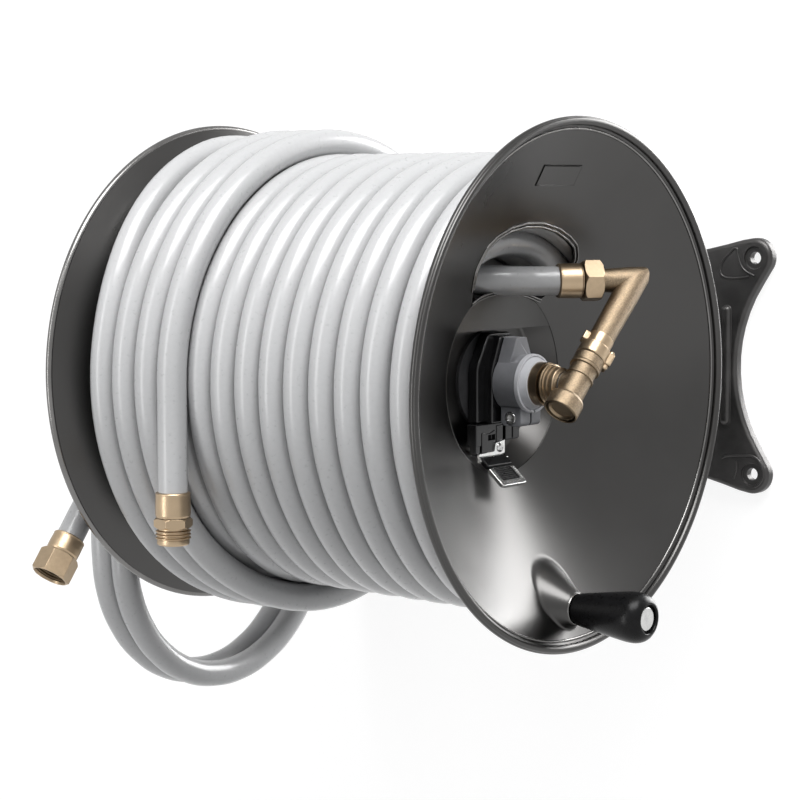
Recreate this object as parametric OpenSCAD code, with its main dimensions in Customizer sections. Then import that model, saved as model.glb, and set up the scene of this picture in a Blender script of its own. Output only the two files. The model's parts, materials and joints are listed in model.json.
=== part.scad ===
// Wall-mounted hose reel: a dished drum on a fixed hollow spindle, with a swivel pipe, a crank knob,
// a drag brake, a wound hose and a leader hose that hangs over the spindle behind the drum.
// X runs along the drum's axis towards the crank, +Y points into the wall, +Z is up.
// The origin is the middle of the four wall holes, on the wall.

/* [Wall bracket] */
// Distance from the wall to the drum's axis
wall_gap = 252; // [248:1:270]
// Spacing of the wall holes along X
hole_span_x = 376; // [370:1:384]
// Spacing of the wall holes along Z
hole_span_z = 180; // [170:1:190]
// Diameter of a wall hole
hole_d = 10; // [8:0.5:12]
// Radius of the plate's ears
ear_r = 18; // [16:0.5:20]
// Thickness of the plate
plate_t = 10; // [8:0.5:11]
// Radius of the concave ends of the plate
end_arc_r = 116; // [110:1:130]
// Half height of the plate at its middle
plate_waist = 82; // [70:1:88]
// Height that the ridge stands above the plate
ridge_h = 4; // [2:0.5:5]
// Width of the support arm along X
arm_w = 26; // [22:1:28]
// Height of the support arm
arm_h = 48; // [44:1:54]
// Thickness of the arm's foot
foot_t = 16; // [12:1:18]
// Length of the arm's foot on the plate
foot_on_plate = 90; // [80:1:100]

/* [Spindle] */
// Diameter of the spindle
spindle_d = 33; // [30:0.5:34]
// Diameter of the water way
bore_d = 13; // [10:0.5:14]
// Diameter of the spindle's tail in the swivel
tail_d = 20; // [19:0.5:21]
// Length of the tail
tail_l = 18; // [17:0.5:19]
// Running clearance on the radius
run_gap = 0.05; // [0.02:0.01:0.1]
// Gap between faces that pass each other
face_gap = 0.3; // [0.2:0.05:0.5]

/* [Drum] */
// Diameter of the dished sides
flange_d = 400; // [380:1:410]
// Distance between the rims of the sides
drum_w = 366; // [360:1:380]
// Distance between the creases where the dishes start
hub_w = 224; // [218:1:230]
// Radius of that crease
crease_r = 72; // [69:0.5:75]
// Thickness of the metal sheet
sheet_t = 1.6; // [1.4:0.1:2.5]
// Radius of the rolled rim
bead_r = 3.5; // [3:0.1:4.5]
// Depth of the hub cup below the crease
cup_depth = 17; // [15:0.5:19]
// Diameter of the drum's core
core_d = 124; // [118:1:126]
// Height of the shelf over the hub
shelf_z = 40; // [38:0.5:43]
// Radius of the arch that lets the hose out
arch_r = 51; // [46:1:54]
// Height of the arch's centre above the axis
arch_z = 69; // [67:0.5:72]
// Sideways offset of the arch's centre
arch_y = 8.5; // [6:0.5:11]
// Radius of the sill at the foot of the arch
sill_r = 65.5; // [64:0.5:66]

/* [Hose] */
// Diameter of the hose
hose_d = 22.5; // [21:0.1:22.8]
// Radius of the middle of the outer layer
lay_r = 163.5; // [162:0.1:165]
// Number of turns of the outer layer across the drum
wide_turns = 13; // [12:1:13]
// Step from the first of those turns to the second
first_step = 27.2; // [26.9:0.1:28]
// Number of turns that lie on top of the outer layer, next to the far side
top_turns = 4; // [2:1:6]
// Rise from the outer layer to the turns on top
lap_rise = 19.7; // [19.5:0.1:21]
// Extra rise where the turns on top cross the others
cross_rise = 4.2; // [4:0.1:5]
// Length of the free end below the last turn
end_drop = 58.5; // [50:0.5:62]

/* [Leader hose] */
// Radius of the hanging loops
loop_r = 122; // [118:1:125]
// Straight height of the loops
loop_h = 78.5; // [78:0.5:80]
// Depth of the loops' lower centre below the axis
loop_z = 160; // [158:0.5:160]
// Distance of the loops' centre behind the axis
loop_y = 46; // [44:0.5:48]
// Step from one loop to the next along X
loop_step = 24; // [23.2:0.1:24.5]
// Place of the loop nearest the arm, along X
loop_x = -254; // [-256:0.5:-253]

/* [Crank and swivel] */
// Distance of the crank knob's centre from the edge of the side
crank_inset = 32; // [28:1:40]
// Length of the knob
knob_l = 63; // [55:1:75]
// Diameter of the knob's thick end
knob_d = 38; // [32:1:42]
// Diameter of the knob's thin end
knob_small_d = 24; // [20:1:28]
// Length of the leaning pipe, from the swivel's centre to the elbow
pipe_l = 102; // [96:1:108]
// Diameter of the leaning pipe
pipe_d = 19; // [17:0.5:20]
// Distance of the leaning pipe's foot from the hub's face
swivel_out = 66; // [66:0.5:68]
// Angle of the elbow's outlet from the Y axis
outlet_turn = 40; // [38:0.5:42]

/* [Hidden] */
$fn = 48;

cast = "#4b4a48";
metal = "#5d5b58";
brass = "#b08d57";
pale = "#d4d6d8";
black = "#1c1c1d";
grey = "#8d8f95";
steel = "#c9c9c6";

eps = 0.01;
spindle_r = spindle_d / 2;
hose_r = hose_d / 2;

// Dishes: the outer surface runs straight from the crease to the rim.
half_hub = hub_w / 2;
half_rim = drum_w / 2;
flange_r = flange_d / 2;
crank_r = flange_r - crank_inset;
dish_r = flange_r - bead_r + 0.5;
slope = (half_rim - half_hub) / (dish_r - crease_r);
sheet_x = sheet_t * sqrt(1 + slope * slope);
core_r = core_d / 2;
core_wall = 3;
cup_floor_x = half_hub - cup_depth;
cup_floor_r = core_r - core_wall - face_gap;
function dish_x(r) = half_hub + (r - crease_r) * slope;

// Bearings and the black housing
bush_r = spindle_r + 4.5;
bush_flange_r = 39;
bush_flange_t = 3;
bush_l = 16;
housing_x0 = cup_floor_x + bush_flange_t + face_gap;
housing_l = 17.7;
housing_x1 = housing_x0 + housing_l;
housing_r = 28.5;
housing_top = shelf_z - 2.5;
housing_top_half = 13;
housing_shoulder_z = 14;
housing_bore_r = spindle_r + 1;
tie_r = 2.5;
tie_ring_r = 51;
tie_angles = [70, 110, 250];
tie_nut_r = 4.5;
tie_nut_h = 4;

// Grey collar, pale ring and the spindle's end
collar_x0 = housing_x1 + face_gap;
collar_l = 21;
collar_x1 = collar_x0 + collar_l;
collar_r = spindle_r + 5;
collar_split = 2;
ear_drop = 12;
ear_half = 13;
liner_t = 3.5;
liner_r = collar_r + 1;
swivel_x = half_hub + swivel_out;
nose_x = swivel_x - 24.7;
shoulder_t = 6;
shoulder_r = spindle_r + 4;

// Support arm
arm_x1 = loop_x - hose_r - 2.75;
arm_x0 = arm_x1 - arm_w;
boss_r = spindle_r + 10;
arm_lug = 16;
port_x = (arm_x0 + arm_x1) / 2;
port_tilt = 45;
port_boss_l = 36;
port_r = 12.5;
inlet_nut_l = 10;
inlet_end = 60;
foot_x1 = -hole_span_x / 2 + foot_on_plate - ear_r;
bolt_r = 4;
bolt_head_r = 7;
bolt_head_h = 5.5;
bolt_inset = 18;
lug_half_z = 8;
arm_web_z = arm_h / 2 - 6;
foot_half_z = arm_h / 2 + 8;
foot_bolt_z = foot_half_z - bolt_inset + 6;

// Plate outline
plate_half_x = hole_span_x / 2;
plate_half_z = hole_span_z / 2;
foot_bolt_x = 20 - plate_half_x;
end_arc_sag = end_arc_r - sqrt(end_arc_r * end_arc_r - 62 * 62);
end_arc_x = plate_half_x + 5 - end_arc_sag + end_arc_r;
side_drop = plate_half_z + ear_r - plate_waist;
side_arc_r = (plate_half_x * plate_half_x + side_drop * side_drop) / (2 * side_drop);
pad_r = 12.5;
pad_sink = 2.5;
ridge_x = plate_half_x - 24;
ridge_z = 62;
ridge_t = 9;

// Brake
block_x0 = housing_x0 + 3.7;
block_x1 = housing_x0 + 13.5;
block_toe_z = -48;
block_y0 = -34;
block_y1 = -1;
block_z0 = -55;
block_z1 = -31;
guide_y0 = 5;
guide_y1 = 23;
guide_z0 = -46;
strip_t = 1.6;
strip_h = 9;
pin_r = 1.6;
pin_z = block_z0 - 3.4;
pin_x = block_x1 + 2.8;
cheek_t = 1.2;
lever_l = 27;
lever_t = 3;
lever_half = 15.5;
lever_lean = 41;
grip_half = 10.5;
grip_sink = 0.8;
grip_from = 7;
grip_l = lever_l - grip_from - 4;
shoe_half_y = 6.7;
shoe_half_x = 5.7;
shoe_z0 = -28;
shoe_travel = 1.5;

// Swivel and pipe
pipe_tilt = 45;
pipe_r = pipe_d / 2;
tee_r = 14.5;
tee_down = 26;
tee_up = 27;
tee_bore = 9;
spigot_r = 13;
spigot_bore = tail_d / 2 + run_gap;
tail_r = tail_d / 2;
spigot_x = nose_x + 1;
chamber_r = 11;
chamber_x = nose_x + 14.5;
swivel_nut_r = 17.5;
swivel_nut_l = 11;
plug_r = 10.6;
plug_t = 5;
clip_from = 30;
clip_to = 38;
run_r = 8;
run_l = 24;
feed_nut_l = 14.5;
ferrule_l = 19.5;
short_ferrule_l = 16;
ferrule_r = hose_r + 2.2;
ring_groove = 0.8;

// Thread sizes of the hose ends
thread_r = 13.4;
thread_l = 13;
socket_r = 13.7;
nut_af = 29;
coupling_l = 20;
coupling_back = 7;
neck_r = 10;
neck_way_r = 6.5;
neck_flange_r = 12.5;
neck_flange_t = 2;
washer_t = 2.4;
seat_r = 13;
seat_l = face_gap + neck_flange_t + washer_t + 0.2;
end_hex_l = 7.5;
way_r = 8;

// Bare plate on the near side
plate_top = flange_r - 36.4;
plate_low = plate_top - 15;
plate_corners = [[-23, plate_top], [25.6, plate_top], [25.6, plate_low], [-23, plate_low]];

// Crank
boss_base_x = half_hub + 33;
boss_base_r = 36;
boss_tip_r = 12;
boss_tip_x = half_rim - 2;
axle_r = 4;
knob_gap = 0.3;
knob_x0 = boss_tip_x + knob_gap + 1.2;
cap_r = 8.5;
cap_sink = 3;

// Pack of inner layers, just clear of the outer turns' straight runs
turn_rings = 24;
pack_r = (lay_r - hose_r) * cos(180 / turn_rings) - 0.4;
pack_gap = 1;

// Winding: x and radius of each turn, then the crossing from one turn to the next
cross_from = 200;
cross_to = 290;
low_r = lay_r - hose_d;
side_gap = 1.2;
low_x = dish_x(low_r) - sheet_x - (hose_r + side_gap) * sqrt(1 + slope * slope);
first_x = dish_x(lay_r) - sheet_x - (hose_r + side_gap) * sqrt(1 + slope * slope);
turn_step = (2 * first_x - first_step) / (wide_turns - 2);
last_low = wide_turns - 1;
top_r = lay_r + lap_rise;
turn_x = concat(
    [first_x],
    [for (i = [0 : wide_turns - 2]) first_x - first_step - i * turn_step],
    [for (i = [1 : top_turns - 1]) -first_x + (i + 0.5) * turn_step]);
turns = len(turn_x);
start_angle = 292;
end_angle = 180 + 360 * turns;
climb = 70;
lift_from = cross_to + 360 * last_low + 120;
lift_turn = 60;

// Route points chosen by hand, relative to the drum's axis
lead_in_route = [[-46, -46, 0], [-56, -57, 0.14], [-66, -74, 0.4], [-73, -95, 0.75], [-76, -115, 0.97], [-76, -127, 1]];
tail_route = [[-218, 14, 40.5], [-217, 4, 39], [-215, -7, 35.5], [-213, -20, 29], [-211, -34, 18.5], [-209, -46, 5.5],
    [-207, -62, -17], [-207, -86, -48.5], [-210, -110, -80], [-213, -131, -107.5]];
tail_end = [-213, -152, -135];

function unit(v) = v / norm(v);
function flat(l) = [for (a = l) for (b = a) b];
function ease(t) = t <= 0 ? 0 : t >= 1 ? 1 : t * t * (3 - 2 * t);
function on_ring(r, a) = [r * cos(a), r * sin(a)];

// One closed tube along a path. ref is the direction that each ring keeps its first corner near.
function heading(p, i) = unit(p[min(i + 1, len(p) - 1)] - p[max(i - 1, 0)]);
function square_to(v, t) = unit(v - (v * t) * t);
function ring(c, t, ref, r, sides) = let (u = square_to(ref, t), w = cross(t, u))
    [for (k = [0 : sides - 1]) c + r * (cos(k * 360 / sides) * u + sin(k * 360 / sides) * w)];
module tube_on(path, refs, r, sides) {
    n = len(path);
    points = flat([for (i = [0 : n - 1]) ring(path[i], heading(path, i), refs[i], r, sides)]);
    walls = [for (i = [0 : n - 2]) for (k = [0 : sides - 1]) let (a = i * sides, b = a + sides, m = (k + 1) % sides)
        for (f = [[a + k, b + k, a + m], [a + m, b + k, b + m]]) f];
    front = [for (k = [1 : sides - 2]) [0, k, k + 1]];
    back = [for (k = [1 : sides - 2]) [(n - 1) * sides, (n - 1) * sides + k + 1, (n - 1) * sides + k]];
    polyhedron(points = points, faces = concat(walls, front, back));
}
module tube_with(path, ref, r, sides) {
    tube_on(path, [for (p = path) ref], r, sides);
}

// Points of one smooth curve through a list of points
function spline(p, i, t) = let (n = len(p) - 1, a = p[max(i - 1, 0)], b = p[i], c = p[i + 1], d = p[min(i + 2, n)])
    0.5 * (2 * b + (c - a) * t + (2 * a - 5 * b + 4 * c - d) * t * t + (3 * b - a - 3 * c + d) * t * t * t);
function smooth_path(p, steps) = concat(
    [for (i = [0 : len(p) - 2]) for (s = [0 : steps - 1]) spline(p, i, s / steps)], [p[len(p) - 1]]);

// Winding
function turn_at(a) = min(turns - 1, floor((a - cross_to) / 360));
function cross_at(a) = ease((a - cross_to - turn_at(a) * 360 - (360 - cross_to + cross_from)) / (cross_to - cross_from));
function lift_at(a) = ease((a - lift_from) / lift_turn);
function shift_at(a) = ease((a - lift_from - lift_turn) / lift_turn);
function place(n, a) = turn_x[n] + (n == last_low ? turn_step / 2 * shift_at(a) : 0);
function lane(a) = let (n = turn_at(a), m = min(n + 1, turns - 1))
    place(n, a) + (turn_x[m] - place(n, a)) * cross_at(a);
function hump(a) = turn_at(a) < last_low ? 0 : cross_rise * (1 - pow(2 * cross_at(a) - 1, 4));
function climb_at(a) = ease((a - start_angle) / climb);
function wound_r(a) = low_r + hose_d * climb_at(a) + lap_rise * lift_at(a) + hump(a);
function wound_x(a) = low_x + (lane(a) - low_x) * climb_at(a);
function wound_point(a) = let (r = wound_r(a)) [wound_x(a), r * cos(a), r * sin(a)];
ring_step = 360 / turn_rings;
wound_mid = [for (a = [start_angle + ring_step : ring_step : end_angle - 1]) wound_point(a)];
wound_first = [low_x, low_r * cos(start_angle), low_r * sin(start_angle)];
wound_second = wound_first + hose_d * [0, -sin(start_angle), cos(start_angle)];
wound_last = [turn_x[turns - 1], -top_r, 0];
wound_path = concat([wound_first, wound_second], wound_mid, [wound_last, wound_last - [0, 0, hose_d]]);
end_top = wound_last - [0, 0, hose_d];
end_low = end_top - [0, 0, end_drop];

// Leader loops: straight sides, round top and bottom; x steps on the round tops
loop_top_z = loop_h - loop_z;
function loop_low(a, x) = [x, loop_y + loop_r * cos(a), -loop_z + loop_r * sin(a)];
function loop_high(a, x) = [x, loop_y + loop_r * cos(a), loop_top_z + loop_r * sin(a)];
loop_step_a = 180 / 11;
second_x = loop_x + loop_step;
coil_in = [loop_x, loop_y - loop_r, -loop_z + hose_d];
coil_top_x = second_x + loop_step / 2;
coil_path = concat(
    [coil_in],
    [for (a = [180 : loop_step_a : 360]) loop_low(a, loop_x)],
    [for (a = [0 : loop_step_a : 180]) loop_high(a, loop_x + loop_step * ease(a / 180))],
    [for (a = [180 : loop_step_a : 360]) loop_low(a, second_x)],
    [for (a = [0 : loop_step_a : 90]) loop_high(a, second_x + loop_step * ease(a / 180))],
    [loop_high(90, coil_top_x)],
    [[coil_top_x, loop_y - hose_d, loop_top_z + loop_r]]);
coil_out = coil_path[len(coil_path) - 1];
inlet_dir = [0, -cos(port_tilt), -sin(port_tilt)];
inlet_point = [port_x, 0, 0] + inlet_end * inlet_dir;
lead_in_path = concat(
    [for (p = lead_in_route) [port_x + (loop_x - port_x) * p[2], p[0], p[1]]]);
tail_path = concat([coil_out], tail_route, [tail_end]);
tail_dir = unit(tail_end - tail_route[len(tail_route) - 1]);
tail_tilt = atan2(-tail_dir[2], -tail_dir[1]);

// Feed hose from the ferrule to the inner layers
outlet_dir = [-sin(outlet_turn), -cos(outlet_turn), 0];
elbow_point = [swivel_x, pipe_l * cos(pipe_tilt), pipe_l * sin(pipe_tilt)];
feed_start = elbow_point + (run_l + feed_nut_l + ferrule_l - 2) * outlet_dir;
feed_in = [half_hub, -7, shelf_z + 37.5];
feed_dir = unit([-14, -17, 1]);
feed_run = 40;
feed_end = feed_in + feed_run * feed_dir;
feed_knots = [feed_start + 0.8 * hose_r * outlet_dir, feed_start + 1.8 * hose_r * outlet_dir,
    feed_in - 0.7 * hose_r * feed_dir, feed_in];

// Least distance between two stretches of a path that lie more than a few rings apart
function own_gap(p, apart, d) = min([for (i = [0 : len(p) - 1 - apart]) for (j = [i + apart : len(p) - 1])
    norm(p[i] - p[j])]) - d;

// Shapes used by many pieces, all about the drum's axis
module on_axis() { translate([0, -wall_gap, 0]) children(); }
module turned() { rotate([0, 90, 0]) rotate_extrude() children(); }
module rod_x(r, x0, x1) { translate([x0, 0, 0]) rotate([0, 90, 0]) cylinder(r = r, h = x1 - x0); }
module pipe_x(ro, ri, x0, x1) {
    difference() {
        rod_x(ro, x0, x1);
        rod_x(ri, x0 - 1, x1 + 1);
    }
}
module rod_y(r, x, z, y0, y1) { translate([x, y0, z]) rotate([-90, 0, 0]) cylinder(r = r, h = y1 - y0); }
module slab(x0, x1, y0, y1, z0, z1) { translate([x0, y0, z0]) cube([x1 - x0, y1 - y0, z1 - z0]); }
module hexagon(af, h) { cylinder(r = af / 2 / cos(30), h = h, $fn = 6); }
module port_way() { translate([port_x, 0, 0]) rotate([90 + port_tilt, 0, 0]) children(); }
module lean() { translate([swivel_x, 0, 0]) rotate([-pipe_tilt, 0, 0]) children(); }
module outlet() { translate(elbow_point) rotate([90, 0, -outlet_turn]) children(); }
module tail_way() { translate(tail_end) rotate([90 + tail_tilt, 0, 0]) children(); }
module crank_way() { translate([0, 0, -crank_r]) children(); }

// ---------------------------------------------------------------- bracket
module plate_outline() {
    difference() {
        union() {
            square([2 * plate_half_x, 2 * plate_half_z + 2 * ear_r - 0.1], center = true);
            square([2 * plate_half_x + 2 * ear_r - 0.1, 2 * plate_half_z], center = true);
            for (sx = [-1, 1]) for (sz = [-1, 1]) translate([sx * plate_half_x, sz * plate_half_z]) circle(r = ear_r);
        }
        for (sx = [-1, 1]) translate([sx * end_arc_x, 0]) circle(r = end_arc_r, $fn = 144);
        for (sz = [-1, 1]) translate([0, sz * (plate_waist + side_arc_r)]) circle(r = side_arc_r, $fn = 360);
    }
}
module flat_on_wall(t) { rotate([90, 0, 0]) linear_extrude(height = t) children(); }
module at_holes() {
    for (sx = [-1, 1]) for (sz = [-1, 1]) translate([sx * plate_half_x, 0, sz * plate_half_z]) children();
}
module wall_plate() color(cast) difference() {
    union() {
        flat_on_wall(plate_t) plate_outline();
        for (sx = [-1, 1]) translate([sx * ridge_x - ridge_t / 2, -plate_t - (sx > 0 ? ridge_h : 0), -ridge_z])
            cube([ridge_t, ridge_h, 2 * ridge_z]);
    }
    at_holes() rotate([90, 0, 0]) {
        translate([0, 0, -1]) cylinder(d = hole_d, h = plate_t + 2);
        translate([0, 0, plate_t - pad_sink]) cylinder(r = pad_r, h = pad_sink + 1);
    }
    at_foot_bolts() rotate([90, 0, 0]) translate([0, 0, -1]) cylinder(r = bolt_r + 0.2, h = plate_t + 2);
}
module at_foot_bolts() {
    for (x = [foot_bolt_x, foot_x1 - bolt_inset]) for (z = [-1, 1]) translate([x, 0, z * foot_bolt_z]) children();
}
module support_arm() color(cast) difference() {
    union() {
        translate([0, -plate_t - eps, 0]) slab(arm_x0, foot_x1, -foot_t, 0, -foot_half_z, foot_half_z);
        slab(arm_x0, arm_x1, -wall_gap, -plate_t - eps, -arm_web_z, arm_web_z);
        on_axis() rod_x(boss_r, arm_x0, arm_x1);
        on_axis() slab(arm_x0, arm_x1, -boss_r - arm_lug, -spindle_r, -lug_half_z, lug_half_z);
        on_axis() port_way() cylinder(r = port_r, h = port_boss_l);
    }
    on_axis() rod_x(spindle_r, arm_x0 - 1, arm_x1 + 1);
    on_axis() slab(arm_x0 - 1, arm_x1 + 1, -boss_r - arm_lug - 1, 0, -1, 1);
    on_axis() translate([port_x, -boss_r - arm_lug / 2, -lug_half_z - 1]) cylinder(r = bolt_r + 0.2, h = 2 * lug_half_z + 2);
    on_axis() port_way() translate([0, 0, 4]) cylinder(r = way_r, h = port_boss_l);
    at_foot_bolts() rotate([90, 0, 0]) cylinder(r = bolt_r + 0.2, h = plate_t + foot_t + 1);
}
module arm_bolts() color(steel) at_foot_bolts() rotate([90, 0, 0]) {
    translate([0, 0, 1]) cylinder(r = bolt_r, h = plate_t + foot_t);
    translate([0, 0, plate_t + foot_t + 2 * eps]) hexagon(2 * bolt_head_r, bolt_head_h);
}
module arm_clamp_screw() color(steel) on_axis() translate([port_x, -boss_r - arm_lug / 2, 0]) difference() {
    union() {
        translate([0, 0, 0.2 - lug_half_z]) cylinder(r = bolt_r, h = 2 * lug_half_z);
        translate([0, 0, lug_half_z + eps]) cylinder(r = bolt_head_r - 1, h = bolt_head_h);
    }
    translate([0, 0, lug_half_z + bolt_head_h - 2.5]) hexagon(5, 4);
}

// ---------------------------------------------------------------- spindle and what sits on it
module spindle() color(brass) on_axis() difference() {
    union() {
        rod_x(spindle_r, arm_x0, nose_x);
        rod_x(tail_r, nose_x - eps, nose_x + tail_l);
        rod_x(shoulder_r, far_face_x - face_gap - shoulder_t, far_face_x - face_gap);
    }
    rod_x(bore_d / 2, arm_x0 + 6, nose_x + tail_l + 1);
    for (x = seal_x) pipe_x(tail_r + 1, tail_r - 1.6, x - 0.85, x + 0.85);
    pipe_x(tail_r + 1, tail_r - 1, nose_x + 15, nose_x + 16.2);
    rod_x(spindle_r - 4, arm_x0 - 1, arm_x0 + 6 + eps);
    port_way() cylinder(r = way_r - 0.5, h = spindle_r + 2);
}
far_face_x = -(cup_floor_x + bush_flange_t);
seal_x = [nose_x + 5, nose_x + 9.5];
module spindle_plug() color(brass) on_axis() {
    rod_x(spindle_r - 4.2, arm_x0 - 1, arm_x0 + 5.5);
    translate([arm_x0 - 9, 0, 0]) rotate([0, 90, 0]) hexagon(24, 8.5);
}
module inlet_nut() color(brass) on_axis() port_way() difference() {
    translate([0, 0, port_boss_l + 0.1]) hexagon(nut_af, inlet_nut_l);
    translate([0, 0, port_boss_l - 1]) cylinder(r = way_r, h = inlet_nut_l + 2);
}
module inlet_ferrule() color(brass) on_axis() port_way() {
    translate([0, 0, port_boss_l + inlet_nut_l + 0.2])
        cylinder(r = ferrule_r, h = inlet_end - port_boss_l - inlet_nut_l - 0.2);
}
module leader_lead_in() color(pale) on_axis() 
    tube_with(concat([inlet_point], smooth_path(lead_in_path, 2), [coil_in]), [1, 0, 0], hose_r, 10);
module leader_coil() color(pale) on_axis() {
    echo(leader_coil_own_gap = own_gap(coil_path, 8, hose_d));
    tube_with(coil_path, [1, 0, 0], hose_r, 6);
}
module leader_tail() color(pale) on_axis() tube_with(tail_path, [1, 0, 0], hose_r, 10);
module leader_ferrule() color(brass) on_axis() tail_way() difference() {
    union() {
        cylinder(r = ferrule_r, h = short_ferrule_l);
        cylinder(r = neck_r, h = neck_end + 1);
        translate([0, 0, neck_end]) cylinder(r = neck_flange_r, h = neck_flange_t);
    }
    translate([0, 0, 4]) cylinder(r = neck_way_r, h = neck_end + 10);
}
neck_end = short_ferrule_l + 2 * face_gap + coupling_back;
module coupling_nut() color(brass) on_axis() tail_way() translate([0, 0, short_ferrule_l + face_gap]) difference() {
    intersection() {
        hexagon(nut_af, coupling_l);
        translate([0, 0, -1]) cylinder(r = nut_af / 2 + 1.7, h = coupling_l + 2);
    }
    translate([0, 0, coupling_back]) cylinder(r = seat_r, h = coupling_l);
    translate([0, 0, coupling_back + seat_l]) cylinder(r = socket_r, h = coupling_l);
    translate([0, 0, -1]) cylinder(r = neck_r + run_gap, h = coupling_l);
}
module coupling_washer() color(black) on_axis() tail_way()
    translate([0, 0, neck_end + neck_flange_t + 0.1]) difference() {
        cylinder(r = seat_r - 0.1, h = washer_t);
        translate([0, 0, -1]) cylinder(r = neck_way_r, h = 5);
    }
module retaining_collar() color(grey) on_axis() difference() {
    union() {
        rod_x(collar_r, collar_x0, collar_x1);
        translate([collar_x0, 0, 0]) rotate([90, 0, 90]) linear_extrude(height = 12)
            polygon([[-15, collar_r - 7], [15, collar_r - 7], [6, housing_top - 3], [-6, housing_top - 3]]);
        slab(collar_x0 + 2, collar_x1, -ear_half, ear_half, -collar_r - ear_drop + 1, -spindle_r - 1);
    }
    rod_x(spindle_r + run_gap, collar_x0 - 1, collar_x1 + 1);
    slab(collar_x0 - 1, collar_x1 + 1, -collar_split / 2, collar_split / 2, -collar_r - ear_drop - 1, 0);
    rod_y(bolt_r - 1 + 0.2, collar_screw_x, collar_screw_z, -ear_half - 1, ear_half + 1);
    rod_y(5, collar_screw_x, collar_screw_z, -ear_half - 1, -ear_half + 4.5);
}
collar_screw_x = collar_x0 + 11;
collar_screw_z = -collar_r - 5;
module collar_screw() color(black) on_axis() difference() {
    union() {
        rod_y(bolt_r - 1, collar_screw_x, collar_screw_z, -ear_half + 4, ear_half + 3);
        rod_y(4.6, collar_screw_x, collar_screw_z, -ear_half, -ear_half + 4.4);
    }
    translate([collar_screw_x, -ear_half + 2.4, collar_screw_z]) rotate([90, 0, 0]) hexagon(4, 4);
}
module collar_liner() color("#c4c6cc") on_axis() difference() {
    rod_x(liner_r, collar_x1 + eps, collar_x1 + liner_t);
    rod_x(spindle_r + run_gap, collar_x1 - 1, collar_x1 + liner_t + 1);
    slab(collar_x1 - 1, collar_x1 + liner_t + 1, -collar_split / 2, collar_split / 2, -liner_r - 1, 0);
}
module spindle_seals() color(black) on_axis() for (x = seal_x) translate([x, 0, 0]) turned()
    translate([tail_r - 0.8, 0]) circle(r = 0.75);
module snap_ring() color(steel) on_axis() difference() {
    pipe_x(tail_r + 0.7, tail_r - 0.9, nose_x + 15.05, nose_x + 16.15);
    slab(nose_x + 14, nose_x + 17, -1.5, 1.5, 0, tail_r + 2);
}

// ---------------------------------------------------------------- drum
sleeve_r = bush_r + 0.1;
module dish_profile() {
    polygon([[crease_r + 0.5, dish_x(crease_r + 0.5)], [dish_r, half_rim], [dish_r, half_rim - sheet_x],
        [crease_r + 0.5, dish_x(crease_r + 0.5) - sheet_x]]);
}
module side_profile() {
    polygon([[sleeve_r, cup_floor_x], [cup_floor_r - 1, cup_floor_x], [crease_r, half_hub], [dish_r, half_rim],
        [dish_r, half_rim - sheet_x], [crease_r, half_hub - sheet_x], [cup_floor_r, cup_floor_x - sheet_t],
        [sleeve_r + 3, cup_floor_x - sheet_t], [sleeve_r + 3, cup_floor_x - bush_l], [sleeve_r, cup_floor_x - bush_l]]);
}
module bead() { turned() translate([dish_r - 0.5, half_rim - sheet_x / 2]) circle(r = bead_r); }
module tie_holes() {
    at_ties() rod_x(tie_r + 0.2, -half_hub, cup_floor_x + 1);
}
module arch_column(r, x0, x1) { translate([0, arch_y, arch_z]) rod_x(r, x0, x1); }
module near_flange() color(metal) on_axis() difference() {
    union() {
        difference() {
            union() {
                turned() side_profile();
                bead();
                shelf();
                intersection() {
                    turned() translate([0, 1.5]) dish_profile();
                    difference() {
                        arch_column(arch_r + 2.5, half_hub - 4, half_rim);
                        rod_x(sill_r, 0, half_rim + 1);
                    }
                }
            }
            difference() {
                arch_column(arch_r, half_hub - 8, half_rim + 1);
                rod_x(sill_r, 0, half_rim + 2);
            }
        }
        crank_boss();
    }
    tie_holes();
    crank_way() rod_x(axle_r + 0.1, half_hub, half_rim);
    hollow_boss();
}
module shelf() {
    front = half_hub - 0.3;
    intersection() {
        translate([0, crease_r + 1, 0]) rotate([90, 0, 0]) linear_extrude(height = 2 * crease_r + 2)
            polygon([[cup_floor_x - sheet_t, shelf_z], [half_hub, shelf_z], [half_hub, crease_r + 1],
                [front - sheet_t, crease_r + 1], [front - sheet_t, shelf_z + sheet_t], [cup_floor_x - sheet_t, shelf_z + sheet_t]]);
        turned() polygon([[0, cup_floor_x - sheet_t / 2], [cup_floor_r - 0.5, cup_floor_x - sheet_t / 2],
            [crease_r, half_hub - sheet_x / 2], [crease_r + 0.3, front], [0, front]]);
    }
}
module crank_boss() {
    intersection() {
        crank_way() translate([boss_base_x, 0, 0]) rotate([0, 90, 0])
            cylinder(r1 = boss_base_r, r2 = boss_tip_r, h = boss_tip_x - boss_base_x);
        turned() polygon([[crease_r, half_hub - sheet_x / 2], [dish_r, half_rim - sheet_x / 2], [dish_r, half_rim + 30], [crease_r, half_rim + 30]]);
    }
}
module hollow_boss() {
    crank_way() intersection() {
        translate([boss_base_x - sheet_t * 2, 0, 0]) rotate([0, 90, 0])
            cylinder(r1 = boss_base_r, r2 = boss_tip_r, h = boss_tip_x - boss_base_x);
        slab(half_hub - 5, boss_tip_x - 7, -boss_base_r, boss_base_r, -boss_base_r, boss_base_r);
    }
}
module far_flange() color(metal) on_axis() mirror([1, 0, 0]) difference() {
    union() {
        turned() side_profile();
        bead();
    }
    tie_holes();
}
module name_plate() color("#6a6864") on_axis() intersection() {
    let (r0 = plate_low - 9, r1 = plate_top + 16) turned() polygon([[r0, dish_x(r0) + 0.15], [r1, dish_x(r1) + 0.15],
        [r1, dish_x(r1) + 0.9], [r0, dish_x(r0) + 0.9]]);
    translate([half_hub, 0, 0]) rotate([90, 0, 90]) linear_extrude(height = half_rim)
        polygon(plate_corners);
}
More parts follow.
